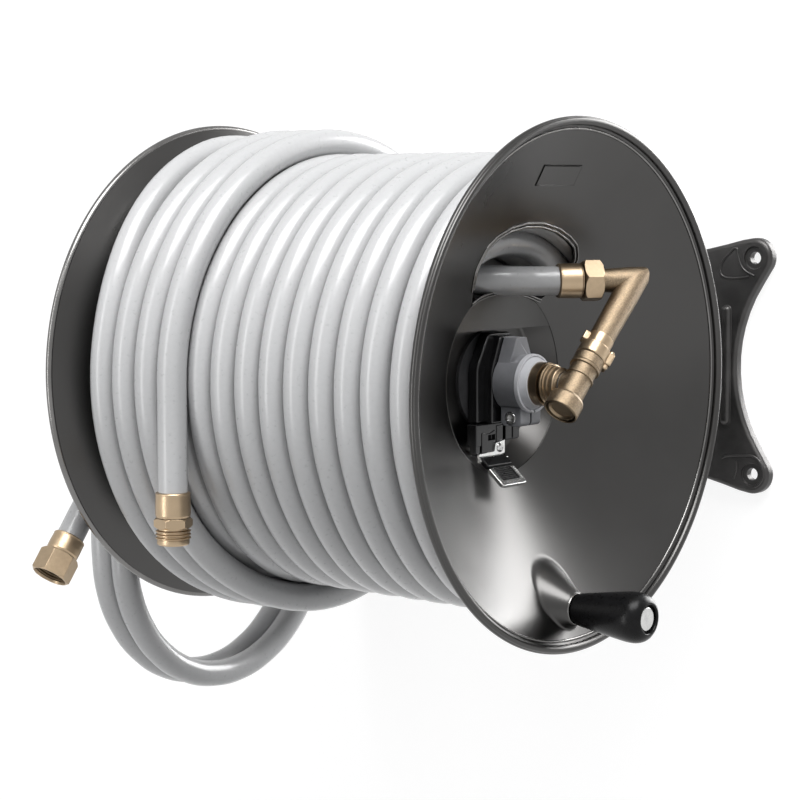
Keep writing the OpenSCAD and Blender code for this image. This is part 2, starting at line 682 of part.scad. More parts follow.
module drum_core() color(metal) on_axis()
    pipe_x(core_r, core_r - core_wall, -cup_floor_x + sheet_t + 0.2, cup_floor_x - sheet_t - 0.2);
module tie_bolts() color(steel) on_axis() at_ties() {
    rod_x(tie_r, -cup_floor_x - 1, cup_floor_x + tie_nut_h + 2);
    translate([-cup_floor_x - tie_nut_h - eps, 0, 0]) rotate([0, 90, 0]) hexagon(2 * tie_nut_r, tie_nut_h);
}
module tie_nuts() color(steel) on_axis() at_ties() difference() {
    translate([cup_floor_x + eps, 0, 0]) rotate([0, 90, 0]) hexagon(2 * tie_nut_r, tie_nut_h);
    rod_x(tie_r + 0.02, cup_floor_x - 1, cup_floor_x + tie_nut_h + 1);
}
module at_ties() {
    for (a = tie_angles) translate([0, tie_ring_r * cos(a), tie_ring_r * sin(a)]) children();
}
module bush(flange_out) {
    difference() {
        union() {
            rod_x(bush_r, cup_floor_x - bush_l, cup_floor_x + 1);
            rod_x(flange_out, cup_floor_x + eps, cup_floor_x + bush_flange_t);
        }
        rod_x(spindle_r + run_gap, 0, half_hub);
    }
}
module near_bush() color("#3a3a3b") on_axis() bush(bush_flange_r);
module far_bush() color("#3a3a3b") on_axis() mirror([1, 0, 0]) bush(bush_flange_r);
module housing_outline() {
    polygon([[-housing_r, block_z1], [-housing_r, housing_shoulder_z], [-housing_top_half, housing_top],
        [housing_top_half, housing_top], [housing_r, housing_shoulder_z], [housing_r, block_z1]]);
}
module hub_housing() color(black) on_axis() difference() {
    translate([housing_x0, 0, 0]) rotate([90, 0, 90]) linear_extrude(height = housing_l) housing_outline();
    rod_x(housing_bore_r, housing_x0 - 1, housing_x1 + 1);
    slab(housing_x0 + 3, housing_x0 + 3 + 2 * shoe_half_x + 0.6, -shoe_half_y - 0.3, shoe_half_y + 0.3,
        shoe_z0 - shoe_travel - 0.5, 0);
}
shoe_x = housing_x0 + 3.3 + shoe_half_x;
module brake_shoe() color("#5a4a3c") on_axis() difference() {
    slab(shoe_x - shoe_half_x, shoe_x + shoe_half_x, -shoe_half_y, shoe_half_y, shoe_z0, -spindle_r + 2);
    rod_x(spindle_r + face_gap, shoe_x - 10, shoe_x + 10);
}
module brake_block() color(black) on_axis() difference() {
    union() {
        slab(block_x0, block_x1, block_y0, block_y1, block_toe_z, block_z1 - eps);
        slab(block_x1 - 6, block_x1, block_y0, block_y1, block_z0, block_z1 - 5);
    }
    slab(block_x1 - 4, block_x1 + 1, block_y0 + 14, block_y0 + 26, block_z1 - 13, block_z1 - 8);
}
module guide_block() color(black) on_axis() difference() {
    slab(housing_x0 + 0.5, block_x1 - 2, guide_y0, guide_y1, guide_z0, block_z1 - eps);
    slab(block_x1 - 5, block_x1, guide_y0 + 8, guide_y0 + 10, guide_z0 - 1, block_z1 + 1);
}
module brake_plate() color(steel) on_axis() difference() {
    union() {
        slab(block_x1 + eps, block_x1 + strip_t, cheek_y0 - cheek_t, cheek_y1 + cheek_t, block_z0 + 1, block_z0 + strip_h);
        for (y = [cheek_y0 - cheek_t, cheek_y1])
            slab(block_x1 + eps, pin_x + 3, y, y + cheek_t, pin_z - 3, block_z0 + 4);
    }
    rod_y(pin_r, pin_x, pin_z, cheek_y0 - 3, cheek_y1 + 3);
}
module plate_screw() color(steel) on_axis() translate([block_x1 + strip_t + eps, block_y1 - 7, block_z0 + 4.5])
    rotate([0, 90, 0]) difference() {
        cylinder(r = 3.6, h = 1.8);
        for (a = [0, 90]) rotate([0, 0, a]) translate([-2.4, -0.4, 0.8]) cube([4.8, 0.8, 2]);
    }
module lever_pin() color(steel) on_axis()
    rod_y(pin_r - 0.01, pin_x, pin_z, cheek_y0 - cheek_t, cheek_y1 + cheek_t);
lever_mid = (block_y0 + block_y1) / 2;
cheek_y0 = lever_mid - lever_half - face_gap;
cheek_y1 = lever_mid + lever_half + face_gap;
module lever_frame() {
    translate([pin_x, lever_mid, pin_z]) rotate([0, lever_lean, 0]) children();
}
module brake_lever() color(steel) on_axis() difference() {
    union() {
        lever_frame() translate([pin_r + 0.9, -lever_half, -lever_t / 2])
            cube([lever_l - pin_r - 0.9, 2 * lever_half, lever_t]);
        rod_y(pin_r + 1.7, pin_x, pin_z, lever_mid - lever_half + 0.6, lever_mid + lever_half - 0.6);
    }
    lever_frame() translate([grip_from, -grip_half, -lever_t]) cube([grip_l, 2 * grip_half, 2 * lever_t]);
    rod_y(pin_r + run_gap, pin_x, pin_z, cheek_y0 - 1, cheek_y1 + 1);
}
module lever_grip() color(black) on_axis() lever_frame() difference() {
    translate([grip_from + eps, -grip_half + eps, -lever_t / 2 + grip_sink])
        cube([grip_l - 2 * eps, 2 * grip_half - 2 * eps, lever_t]);
    for (i = [0 : 4]) translate([grip_from + 2 + 2.8 * i, -grip_half - 1, lever_t / 2 + grip_sink - 0.7]) cube([1.2, 2 * grip_half + 2, 2]);
}

// ---------------------------------------------------------------- swivel, pipe and feed hose
module swivel_body() color(brass) on_axis() difference() {
    union() {
        lean() translate([0, 0, -tee_down]) cylinder(r = tee_r, h = tee_down + tee_up);
        lean() translate([0, 0, tee_up - 7]) cylinder(r = tee_r + 1, h = 4);
        lean() translate([0, 0, -tee_down]) cylinder(r = tee_r + 1, h = 7);
        rod_x(spigot_r, spigot_x, swivel_x);
    }
    rod_x(spigot_bore, spigot_x - 1, chamber_x + 1);
    rod_x(chamber_r, chamber_x, nose_x + tail_l + 2);
    lean() translate([0, 0, -tee_down + plug_t + 1]) cylinder(r = tee_bore, h = tee_down + tee_up);
    lean() translate([0, 0, -tee_down - 1]) cylinder(r = plug_r, h = plug_t + 1);
}
module swivel_nut() color(brass) on_axis() difference() {
    rod_x(swivel_nut_r, spigot_x, spigot_x + swivel_nut_l);
    rod_x(spigot_r + 0.1, spigot_x - 1, spigot_x + swivel_nut_l + 1);
    for (i = [0 : 2]) pipe_x(swivel_nut_r + 1, swivel_nut_r - ring_groove, spigot_x + 2 + 2.8 * i, spigot_x + 3.2 + 2.8 * i);
    lean() cylinder(r = tee_r + 1.2, h = 3 * tee_down, center = true);
}
module swivel_plug() color(brass) on_axis() lean() translate([0, 0, -tee_down + 0.6]) difference() {
    cylinder(r = plug_r - 0.1, h = plug_t - 0.7);
    translate([0, 0, -1]) cylinder(r = plug_r - 3, h = 2);
}
module z_pipe() color(brass) on_axis() difference() {
    union() {
        lean() translate([0, 0, 14]) cylinder(r = tee_bore - 0.1, h = 20);
        lean() translate([0, 0, tee_up + 0.3]) cylinder(r = pipe_r, h = pipe_l - tee_up - 0.3);
        translate(elbow_point) sphere(r = pipe_r + 0.5);
        outlet() cylinder(r = run_r, h = run_l);
    }
    lean() translate([0, 0, 13]) cylinder(r = bore_d / 2, h = pipe_l - 13);
    outlet() cylinder(r = bore_d / 2 - 1, h = run_l + 1);
}
module pipe_clip() color(brass) on_axis() lean() {
    difference() {
        translate([0, 0, clip_from]) cylinder(r = pipe_r + 3, h = clip_to - clip_from);
        translate([0, 0, clip_from - 1]) cylinder(r = pipe_r + 0.1, h = clip_to - clip_from + 2);
    }
    for (s = [-1, 1]) translate([s * (pipe_r + 5.2), 0, (clip_from + clip_to) / 2])
        cube([5, 6, clip_to - clip_from - 1], center = true);
}
module hose_nut() color(brass) on_axis() outlet() translate([0, 0, run_l - 2]) difference() {
    hexagon(nut_af, feed_nut_l);
    translate([0, 0, -1]) cylinder(r = run_r + 0.1, h = 3.1);
    cylinder(r = bore_d / 2, h = feed_nut_l + 1);
}
module feed_ferrule() color(brass) on_axis() outlet() translate([0, 0, run_l - 2 + feed_nut_l + 0.4])
    cylinder(r = ferrule_r, h = ferrule_l - 0.4);
module feed_hose() color(pale) on_axis()
    tube_with(concat([feed_start], smooth_path(feed_knots, 3), [feed_end]),
        [0, 0, 1], hose_r, 12);
module hose_layers() color(pale) on_axis() difference() {
    turned() pack_profile();
    translate(feed_end) multmatrix(frame_on(-feed_dir)) cylinder(r = hose_r + 0.4, h = 2 * feed_run);
    rotate([0, 90, 0]) rotate_extrude(angle = climb + 12, start = start_angle + 90)
        translate([low_r - hose_r - 0.8, low_x - hose_r - 1]) square([2 * hose_r + 30, 60]);
}
function frame_on(t) = let (w = unit(t), u = square_to([0, 0, 1], w), v = cross(w, u))
    [[u[0], v[0], w[0], 0], [u[1], v[1], w[1], 0], [u[2], v[2], w[2], 0], [0, 0, 0, 1]];
module pack_profile() {
    in_r = core_r + 0.4;
    side = pack_gap + sheet_x;
    polygon([[in_r, -cup_floor_x + sheet_t + 1], [in_r, cup_floor_x - sheet_t - 1],
        [crease_r + 2, half_hub - side], [pack_r, dish_x(pack_r) - side],
        [pack_r, -dish_x(pack_r) + side], [crease_r + 2, -half_hub + side]]);
}
module wound_hose() color(pale) on_axis() {
    echo(wound_hose_own_gap = own_gap(wound_path, 12, hose_d));
    tube_on(wound_path, [for (p = wound_path) [0, p[1], p[2]]], hose_r, 6);
}
module hose_end() color(pale) on_axis() tube_with([end_top, (end_top + end_low) / 2, end_low], [1, 0, 0], hose_r, 12);
module end_ferrule() color(brass) on_axis() translate(end_low - [0, 0, ferrule_l]) cylinder(r = ferrule_r, h = ferrule_l);
module end_fitting() color(brass) on_axis() translate(end_low - [0, 0, ferrule_l + eps]) mirror([0, 0, 1]) difference() {
    union() {
        hexagon(25, end_hex_l);
        translate([0, 0, end_hex_l - eps]) cylinder(r = thread_r, h = thread_l);
    }
    translate([0, 0, 1]) cylinder(r = way_r, h = end_hex_l + thread_l);
}

// ---------------------------------------------------------------- crank
module crank_axle() color(steel) on_axis() crank_way() {
    rod_x(axle_r, boss_tip_x - 16, knob_x0 + knob_l - cap_sink - 8);
    rod_x(axle_r + 3, knob_x0 + knob_l - cap_sink - 8 - eps, knob_x0 + knob_l - cap_sink - 4);
    rod_x(axle_r + 3, boss_tip_x + eps, knob_x0 - knob_gap);
}
module crank_nut() color(steel) on_axis() crank_way() difference() {
    translate([boss_tip_x - 13, 0, 0]) rotate([0, 90, 0]) hexagon(13, 5.8);
    rod_x(axle_r + 0.02, boss_tip_x - 20, boss_tip_x);
}
module crank_knob() color(black) on_axis() crank_way() difference() {
    translate([knob_x0, 0, 0]) rotate([0, 90, 0]) rotate_extrude() knob_profile();
    rod_x(axle_r + run_gap, knob_x0 - 1, knob_x0 + knob_l);
    rod_x(axle_r + 3.4, knob_x0 + knob_l - cap_sink - 8.3, knob_x0 + knob_l + 1);
    rod_x(cap_r + 1, knob_x0 + knob_l - cap_sink, knob_x0 + knob_l + 1);
}
module knob_profile() {
    round_r = 9;
    polygon([[0, 0], [knob_small_d / 2 - 1, 0], [knob_small_d / 2, 1], [knob_d / 2, knob_l - round_r - 8],
        [knob_d / 2, knob_l - round_r], [0, knob_l - round_r]]);
    translate([0, knob_l - round_r - eps]) square([knob_d / 2 - round_r, round_r]);
    intersection() {
        translate([knob_d / 2 - round_r, knob_l - round_r]) circle(r = round_r);
        translate([0, knob_l - round_r - 1]) square([knob_d, round_r + 2]);
    }
}
module knob_cap() color(steel) on_axis() crank_way()
    rod_x(cap_r, knob_x0 + knob_l - cap_sink + eps, knob_x0 + knob_l - cap_sink + 1.6);

wall_plate();
support_arm();
arm_bolts();
spindle();
arm_clamp_screw();
spindle_plug();
inlet_nut();
inlet_ferrule();
leader_lead_in();
leader_coil();
leader_tail();
leader_ferrule();
coupling_nut();
coupling_washer();
retaining_collar();
collar_screw();
collar_liner();
spindle_seals();
snap_ring();
near_flange();
far_flange();
name_plate();
drum_core();
tie_bolts();
tie_nuts();
near_bush();
far_bush();
hub_housing();
brake_block();
guide_block();
brake_plate();
plate_screw();
lever_pin();
brake_lever();
lever_grip();
brake_shoe();
swivel_body();
swivel_nut();
swivel_plug();
z_pipe();
pipe_clip();
hose_nut();
feed_ferrule();
feed_hose();
hose_layers();
wound_hose();
hose_end();
end_ferrule();
end_fitting();
crank_axle();
crank_nut();
crank_knob();
knob_cap();
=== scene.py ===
import json
import math

import bpy
from mathutils import Matrix, Vector


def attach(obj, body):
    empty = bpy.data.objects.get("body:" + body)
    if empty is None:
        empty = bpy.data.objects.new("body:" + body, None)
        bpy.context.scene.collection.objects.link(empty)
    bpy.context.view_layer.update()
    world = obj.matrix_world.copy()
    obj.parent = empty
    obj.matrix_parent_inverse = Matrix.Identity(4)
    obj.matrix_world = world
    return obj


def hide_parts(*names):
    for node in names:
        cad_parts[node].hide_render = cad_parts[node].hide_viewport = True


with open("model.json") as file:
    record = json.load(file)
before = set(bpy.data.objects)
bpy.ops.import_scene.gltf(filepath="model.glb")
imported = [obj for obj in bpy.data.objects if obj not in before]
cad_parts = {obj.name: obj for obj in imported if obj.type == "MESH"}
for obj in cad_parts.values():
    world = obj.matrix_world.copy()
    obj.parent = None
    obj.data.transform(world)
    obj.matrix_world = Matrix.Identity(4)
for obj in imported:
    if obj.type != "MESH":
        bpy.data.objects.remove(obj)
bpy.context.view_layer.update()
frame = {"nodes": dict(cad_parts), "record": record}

bl_info = {
    "name": "Wall hose reel",
    "version": (1, 0, 0),
    "blender": (4, 5, 0),
    "location": "View3D > Sidebar > Hose reel",
    "description": "Builds a wall-mounted hose reel with its wound hose, leader hose and fittings round "
                   "its packed frame",
    "category": "Object",
}

# ------------------------------------------------------------------ sizes
# Millimetres about the drum's axis: x along the axis towards the crank, y into the wall, z up.
WALL_GAP = 252.0
SPINDLE_R = 16.5
HALF_HUB = 112.0
HALF_RIM = 183.0
CREASE_R = 72.0
SHEET_T = 1.6
BEAD_R = 3.5
DISH_R = 197.0
SLOPE = (HALF_RIM - HALF_HUB) / (DISH_R - CREASE_R)
SHEET_X = SHEET_T * math.sqrt(1 + SLOPE * SLOPE)
CUP_X = 95.0
CUP_R = 57.7
SLEEVE_R = 21.1
SHELF_Z = 40.0
ARCH = [(-43, 61), (-52, 73), (-60, 87), (-56, 100.5), (-45, 109), (-29, 114.5), (-10, 117.5), (10, 117.5),
        (30, 113.5), (45, 107.5), (55, 101.5), (60.5, 93), (60, 83), (53, 71), (45, 61)]
SILL = [(28, 66), (8, 69), (-14, 68.5), (-30, 65.5)]
HOSE_R = 11.25
LAY_R = 163.5
CRANK_R = 168.0
BOSS_BASE_X, BOSS_BASE_R = 145.0, 36.0
BOSS_TIP_X, BOSS_TIP_R = 181.0, 12.0
HUB_X, COLLAR_X = 98.3, 116.3
FERRULE_R = 13.45
HEX_ACROSS = 29
HOLE_X, HOLE_Z = 188, 90
LEVER_PIN = (114.6, -17.5, -58.4)
KNOB_X, KNOB_L = 182.5, 63.0
SWIVEL_X = 177.4


def mm(x, y, z):
    """A point given about the drum's axis in millimetres, as a place in the scene in metres."""
    return Vector((x, y - WALL_GAP, z)) / 1000


def dish_x(r):
    """How far the front of a dished side stands along the axis at radius r."""
    return HALF_HUB + (r - CREASE_R) * SLOPE


def ease(t):
    """A smooth step from 0 to 1."""
    return 0.0 if t <= 0 else 1.0 if t >= 1 else t * t * (3 - 2 * t)


def polar(r, degrees):
    """The two coordinates at radius r and an angle in degrees."""
    return r * math.cos(math.radians(degrees)), r * math.sin(math.radians(degrees))


# ------------------------------------------------------------------ bench tools
def clear_bench():
    """Leaves nothing selected, in object mode."""
    if bpy.context.object and bpy.context.object.mode != "OBJECT":
        bpy.ops.object.mode_set(mode="OBJECT")
    bpy.ops.object.select_all(action="DESELECT")


def pick(piece, *others):
    """Selects pieces, the first one active."""
    clear_bench()
    for o in (piece, *others):
        o.select_set(True)
    bpy.context.view_layer.objects.active = piece


def open_up(piece, kind="VERT"):
    """Goes into edit mode with everything selected."""
    pick(piece)
    bpy.ops.object.mode_set(mode="EDIT")
    bpy.ops.mesh.select_mode(type=kind)
    bpy.ops.mesh.select_all(action="SELECT")


def close_up():
    bpy.ops.object.mode_set(mode="OBJECT")


def weld_up(piece, reach=1e-6):
    """Merges doubles, drops loose bits and turns the faces outwards."""
    open_up(piece)
    bpy.ops.mesh.remove_doubles(threshold=reach)
    bpy.ops.mesh.delete_loose(use_verts=True, use_edges=True, use_faces=False)
    bpy.ops.mesh.select_all(action="SELECT")
    bpy.ops.mesh.normals_make_consistent(inside=False)
    close_up()


def add_finish(piece, kind, **settings):
    """Adds a modifier, sets it and applies it."""
    pick(piece)
    bpy.ops.object.modifier_add(type=kind)
    m = piece.modifiers[-1]
    for key, value in settings.items():
        setattr(m, key, value)
    bpy.ops.object.modifier_apply(modifier=m.name)


def smooth(piece, degrees=35):
    pick(piece)
    bpy.ops.object.shade_smooth_by_angle(angle=math.radians(degrees))


def round_edges(piece, width, segments=2, degrees=32):
    """Breaks the sharp edges of a piece. width is in millimetres."""
    add_finish(piece, "BEVEL", width=width / 1000, segments=segments, limit_method="ANGLE",
               angle_limit=math.radians(degrees), harden_normals=False)


def loop_of(name, places):
    """A closed loop of edges through the places, made from a circle of as many corners."""
    clear_bench()
    bpy.ops.mesh.primitive_circle_add(vertices=len(places), radius=0.01, location=(0, 0, 0))
    piece = bpy.context.object
    piece.name = name
    for v, p in zip(piece.data.vertices, places):
        v.co = p
    return piece


def softened(outline, radius, steps=3):
    """An outline with each corner rounded. radius is one number, or one for each corner."""
    out, straight = [], 0.05
    for i, corner in enumerate(outline):
        r = radius[i] if isinstance(radius, list) else radius
        c = Vector(corner)
        a, b = Vector(outline[i - 1]) - c, Vector(outline[(i + 1) % len(outline)]) - c
        if r <= 0 or min(a.length, b.length) < 1e-6 or not straight <= a.angle(b) <= math.pi - straight:
            out.append(tuple(c))
            continue
        cut = min(r / math.tan(a.angle(b) / 2), 0.45 * a.length, 0.45 * b.length)
        p, q = c + a.normalized() * cut, c + b.normalized() * cut
        for t in [k / steps for k in range(steps + 1)]:
            out.append(tuple((1 - t) ** 2 * p + 2 * t * (1 - t) * c + t * t * q))
    return out


def spun(piece, steps, degrees, centre=(0, 0, 0), axis=(0, 0, 1)):
    """Spins a loop of edges once round a line and closes the seam."""
    open_up(piece)
    bpy.ops.mesh.spin(steps=steps, angle=2 * math.pi, center=centre, axis=axis)
    close_up()
    weld_up(piece)
    smooth(piece, degrees)
    return piece


def turned(name, outline, centre=(0.0, 0.0), steps=64, degrees=30):
    """A piece turned on a line along X, whose y and z are centre. outline is a closed run of (x, radius)."""
    cy, cz = centre
    loop = loop_of(name, [mm(x, cy, cz + r) for x, r in outline])
    return spun(loop, steps, degrees, mm(0, cy, cz), (1, 0, 0))


def pushed(piece, way):
    """Fills a loop of edges and pushes the face along way, in metres, into a closed block."""
    open_up(piece, "EDGE")
    bpy.ops.mesh.edge_face_add()
    bpy.ops.mesh.select_mode(type="FACE")
    bpy.ops.mesh.select_all(action="SELECT")
    bpy.ops.mesh.extrude_region_move(TRANSFORM_OT_translate={"value": way})
    bpy.ops.mesh.select_all(action="SELECT")
    bpy.ops.mesh.normals_make_consistent(inside=False)
    close_up()


def pressed(name, axis, at, outline, depth, width=0.0, segments=2, degrees=32):
    """A block pressed along axis 0, 1 or 2 from its place at, from a flat outline in the other two."""
    piece = loop_of(name, [mm(*p[:axis], at, *p[axis:]) for p in outline])
    pushed(piece, Vector([depth if i == axis else 0 for i in range(3)]) / 1000)
    if width:
        round_edges(piece, width, segments)
    smooth(piece, degrees)
    return piece


def block(name, low, high, width=0.6, segments=2):
    """A rounded block between two corners in millimetres."""
    clear_bench()
    lo, hi = mm(*low), mm(*high)
    bpy.ops.mesh.primitive_cube_add(size=1, location=(0, 0, 0))
    piece = bpy.context.object
    piece.name = name
    for v in piece.data.vertices:
        v.co = Vector([hi[i] if v.co[i] > 0 else lo[i] for i in range(3)])
    round_edges(piece, width, segments)
    smooth(piece)
    return piece


def rod(name, start, end, radius, corners=32, width=0.0):
    """A round or many-sided rod between two places in millimetres."""
    clear_bench()
    a, b = mm(*start), mm(*end)
    bpy.ops.mesh.primitive_cylinder_add(vertices=corners, radius=radius / 1000, depth=(b - a).length,
                                        location=(0, 0, 0))
    piece = bpy.context.object
    piece.name = name
    turn = (b - a).to_track_quat("Z", "Y").to_matrix().to_4x4()
    piece.data.transform(Matrix.Translation((a + b) / 2) @ turn)
    if width:
        round_edges(piece, width, 2)
    smooth(piece)
    return piece


def copy_of_solid(node, width=0.0, segments=2):
    """A copy of a CAD solid with its flats cleaned and its sharp edges broken."""
    source = frame["nodes"][node]
    piece = source.copy()
    piece.data = source.data.copy()
    for key in list(piece.keys()):
        del piece[key]
    bpy.context.scene.collection.objects.link(piece)
    piece.parent = None
    piece.matrix_world = Matrix.Identity(4)
    open_up(piece)
    if piece.data.has_custom_normals:
        bpy.ops.mesh.customdata_custom_splitnormals_clear()
    bpy.ops.mesh.remove_doubles(threshold=2e-6)
    bpy.ops.mesh.dissolve_limited(angle_limit=math.radians(0.6))
    close_up()
    if width:
        round_edges(piece, width, segments, 30)
    smooth(piece, 40)
    return piece


def worked(piece, operation, tools):
    """Cuts, trims or joins a solid with others, which are used up."""
    for tool in tools:
        add_finish(piece, "BOOLEAN", operation=operation, solver="EXACT", object=tool)
        bpy.data.objects.remove(tool)


def cut_with(piece, *cutters):
    worked(piece, "DIFFERENCE", cutters)


def fused(piece, *others):
    worked(piece, "UNION", others)


def joined(piece, *others):
    """Puts pieces together without making them one solid."""
    pick(piece, *others)
    bpy.ops.object.join()
    return piece


def pick_parts(piece, kind, wanted):
    """Goes into edit mode with only the wanted edges or faces selected."""
    open_up(piece, kind)
    bpy.ops.mesh.select_all(action="DESELECT")
    close_up()
    for part in piece.data.edges if kind == "EDGE" else piece.data.polygons:
        part.select = wanted(part)
    bpy.ops.object.mode_set(mode="EDIT")


def tilted(piece, place, way, spin=0.0):
    """Puts a piece that was made along Z at the origin onto a place (millimetres), its Z along way."""
    turn = Vector(way).normalized().to_track_quat("Z", "Y").to_matrix().to_4x4()
    piece.data.transform(Matrix.Translation(mm(*place)) @ turn @ Matrix.Rotation(spin, 4, "Z"))
    return piece


def turned_on(name, outline, place, way, steps=48, degrees=30):
    """A piece turned on any line: outline is a closed run of (along, radius) from place along way."""
    loop = loop_of(name, [Vector((r, 0, x)) / 1000 for x, r in outline])
    return tilted(spun(loop, steps, degrees), place, way)


def nut_on(name, across, low, high, bore, place, way, spin):
    """A hexagon nut from low to high along way, its corners chamfered at both ends. bore is its hole."""
    corner, rim = across / 2 / math.cos(math.pi / 6), across / 2 + 0.25
    piece = loop_of(name, [Vector((*polar(corner, 60 * k), low)) / 1000 for k in range(6)])
    pushed(piece, (0, 0, (high - low) / 1000))
    drop = 0.9 * (corner - rim)
    stand = (0, WALL_GAP, 0), (0, 0, 1)
    shell = [(low - 1, 0), (low - 1, rim), (low, rim), (low + drop, corner + 0.05), (low + drop, corner + 2),
             (high - drop, corner + 2), (high - drop, corner + 0.05), (high, rim), (high + 1, rim),
             (high + 1, 0)]
    worked(piece, "INTERSECT", [turned_on("chamfer", shell, *stand)])
    if bore:
        hole = [(low - 2, 0), (low - 2, bore), (high + 2, bore), (high + 2, 0)]
        cut_with(piece, turned_on("bore", hole, *stand, steps=40))
    round_edges(piece, 0.25, 1, 25)
    smooth(piece, 28)
    return tilted(piece, place, way, math.radians(spin))


def tube(name, points, radius, smooth_curve=True, corners=6):
    """A hose or wire: one open curve through points in millimetres."""
    data = bpy.data.curves.new(name, "CURVE")
    data.dimensions = "3D"
    spline = data.splines.new("BEZIER" if smooth_curve else "POLY")
    if smooth_curve:
        spline.bezier_points.add(len(points) - 1)
        for b, p in zip(spline.bezier_points, points):
            b.co = mm(*p)
            b.handle_left_type = b.handle_right_type = "AUTO"
        spline.resolution_u = 8
    else:
        spline.points.add(len(points) - 1)
        for b, p in zip(spline.points, points):
            b.co = (*mm(*p), 1)
    data.bevel_depth = radius / 1000
    data.bevel_resolution = corners
    data.use_fill_caps = True
    piece = bpy.data.objects.new(name, data)
    bpy.context.scene.collection.objects.link(piece)
    return piece


def as_mesh(piece):
    pick(piece)
    bpy.ops.object.convert(target="MESH")
    return bpy.context.object


def coat(piece, finish):
    piece.data.materials.clear()
    piece.data.materials.append(finish_of(finish))


def body_of(node):
    """The body that carries a node in the record."""
    for body, nodes in frame["record"]["behaviour"]["bodies"].items():
        if node in nodes:
            return body
    raise RuntimeError(f"no body carries {node}")


def fit(piece, name, finish, slot, *nodes, degrees=None):
    """Names a piece, gives it its finish and hangs it on the body of the CAD solids it stands in for."""
    piece.name = name
    if degrees:
        smooth(piece, degrees)
    coat(piece, finish)
    if piece.type == "MESH":
        add_finish(piece, "WEIGHTED_NORMAL", keep_sharp=True)
    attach(piece, body_of(nodes[0]))
    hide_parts(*nodes)


# ------------------------------------------------------------------ shader nodes
def add_node(tree, kind, values, links):
    """Adds a shader node: values are its inputs' settings, links the outputs that feed them."""
    node = tree.nodes.new("ShaderNode" + kind)
    for socket, value in values.items():
        node.inputs[socket].default_value = value
    for socket, source in links.items():
        tree.links.new(source, node.inputs[socket])
    return node


def maths(tree, operation, values, links):
    node = add_node(tree, "Math", values, links)
    node.operation = operation
    return node.outputs[0]


def mixed(tree, share, first, second):
    """One shader laid over another: share is how much of the second shows."""
    return add_node(tree, "MixShader", {}, {"Fac": share, 1: first, 2: second}).outputs["Shader"]


def mottled(tree, grain, detail, span, dark, light):
    """Object coordinates, a noise over them, and the colour it makes between dark and light."""
    place = tree.nodes.new("ShaderNodeTexCoord").outputs["Object"]
    noise = add_node(tree, "TexNoise", {"Scale": grain, "Detail": detail}, {"Vector": place})
    ramp = add_node(tree, "ValToRGB", {}, {"Fac": noise.outputs["Fac"]})
    for stop, position, tone in zip(ramp.color_ramp.elements, span, (dark, light)):
        stop.position, stop.color = position, (*tone, 1)
    return place, noise.outputs["Fac"], ramp.outputs["Color"]


def new_paint(name):
    """A new material, its node tree and its main shader."""
    paint = bpy.data.materials.new(name)
    paint.use_nodes = True
    return paint, paint.node_tree, paint.node_tree.nodes["Principled BSDF"]


def finish_of(name):
    """A finish as FINISHES gives it: a mottled colour, roughness that follows it, and a fine bump."""
    if name in bpy.data.materials:
        return bpy.data.materials[name]
    tones, rough, grain, bump, bump_grain, shine, *more = FINISHES[name]
    line, span = more + [None, MOTTLE_SPAN][len(more):]
    if isinstance(tones[0], str):
        colour = getattr(look(), tones[0] + "_colour")
        tones = [[c * share for c in colour] for share in tones[1:]]
    paint, tree, shader = new_paint(name)
    for socket, value in shine.items():
        shader.inputs[socket].default_value = value
    place, fac, colour = mottled(tree, grain, 4.0, span, *tones)
    tree.links.new(colour, shader.inputs["Base Color"])
    low, high = rough
    spread = add_node(tree, "MapRange", {"From Min": 0.3, "From Max": 0.7, "To Min": low, "To Max": high},
                      {"Value": fac})
    tree.links.new(spread.outputs["Result"], shader.inputs["Roughness"])
    if line:
        turn = Vector(line).to_track_quat("Z", "Y").to_euler()
        rings = add_node(tree, "Mapping", {"Scale": (1, 1, RING_DEPTH), "Rotation": turn}, {"Vector": place})
        rings.vector_type = "TEXTURE"
        place = rings.outputs["Vector"]
    fine = add_node(tree, "TexNoise", {"Scale": bump_grain, "Detail": 3.0}, {"Vector": place})
    lift = add_node(tree, "Bump", {"Strength": bump, "Distance": BUMP_DEPTH}, {"Height": fine.outputs["Fac"]})
    tree.links.new(lift.outputs["Normal"], shader.inputs["Normal"])
    return paint


# ------------------------------------------------------------------ lines of the hoses
LEAD_IN = [(-281, -42.43, -42.43), (-281, -46, -46), (-277.2, -56, -57), (-270.2, -66, -74),
           (-260.75, -73, -95), (-254.81, -76, -115), (-254, -76, -127)]
LOOP_R, LOOP_Y, LOOP_LOW_Z, LOOP_TOP_Z = 122.0, 46.0, -160.0, -81.5
LOOP_X, LOOP_STEP = -254.0, 24.0
TAIL = [(-218, 14, 40.5), (-217, 4, 39), (-215, -7, 35.5), (-213, -20, 29), (-211, -34, 18.5),
        (-209, -46, 5.5), (-207, -62, -17), (-207, -86, -48.5), (-210, -110, -80), (-213, -131, -107.5)]
TAIL_END = (-213.0, -152.0, -135.0)
TAIL_DIR = (Vector(TAIL_END) - Vector(TAIL[-1])).normalized()


def leader_points():
    """The leader hose's line, from the arm's port, twice round behind the drum and down to its coupling."""
    def at(a, x, z):
        across, up = polar(LOOP_R, a)
        return (x, LOOP_Y + across, z + up)

    second, step = LOOP_X + LOOP_STEP, 180 / 11
    out = list(LEAD_IN)
    for x, last in ((LOOP_X, 12), (second, 6)):
        out += [at(180 + i * step, x, LOOP_LOW_Z) for i in range(12)]
        out += [at(i * step, x + LOOP_STEP * ease(i * step / 180), LOOP_TOP_Z) for i in range(last)]
    top = (second + LOOP_STEP / 2, LOOP_Y, LOOP_TOP_Z + LOOP_R)
    return out + [top, (top[0], LOOP_Y - 2 * HOSE_R, top[2])] + TAIL + [TAIL_END]


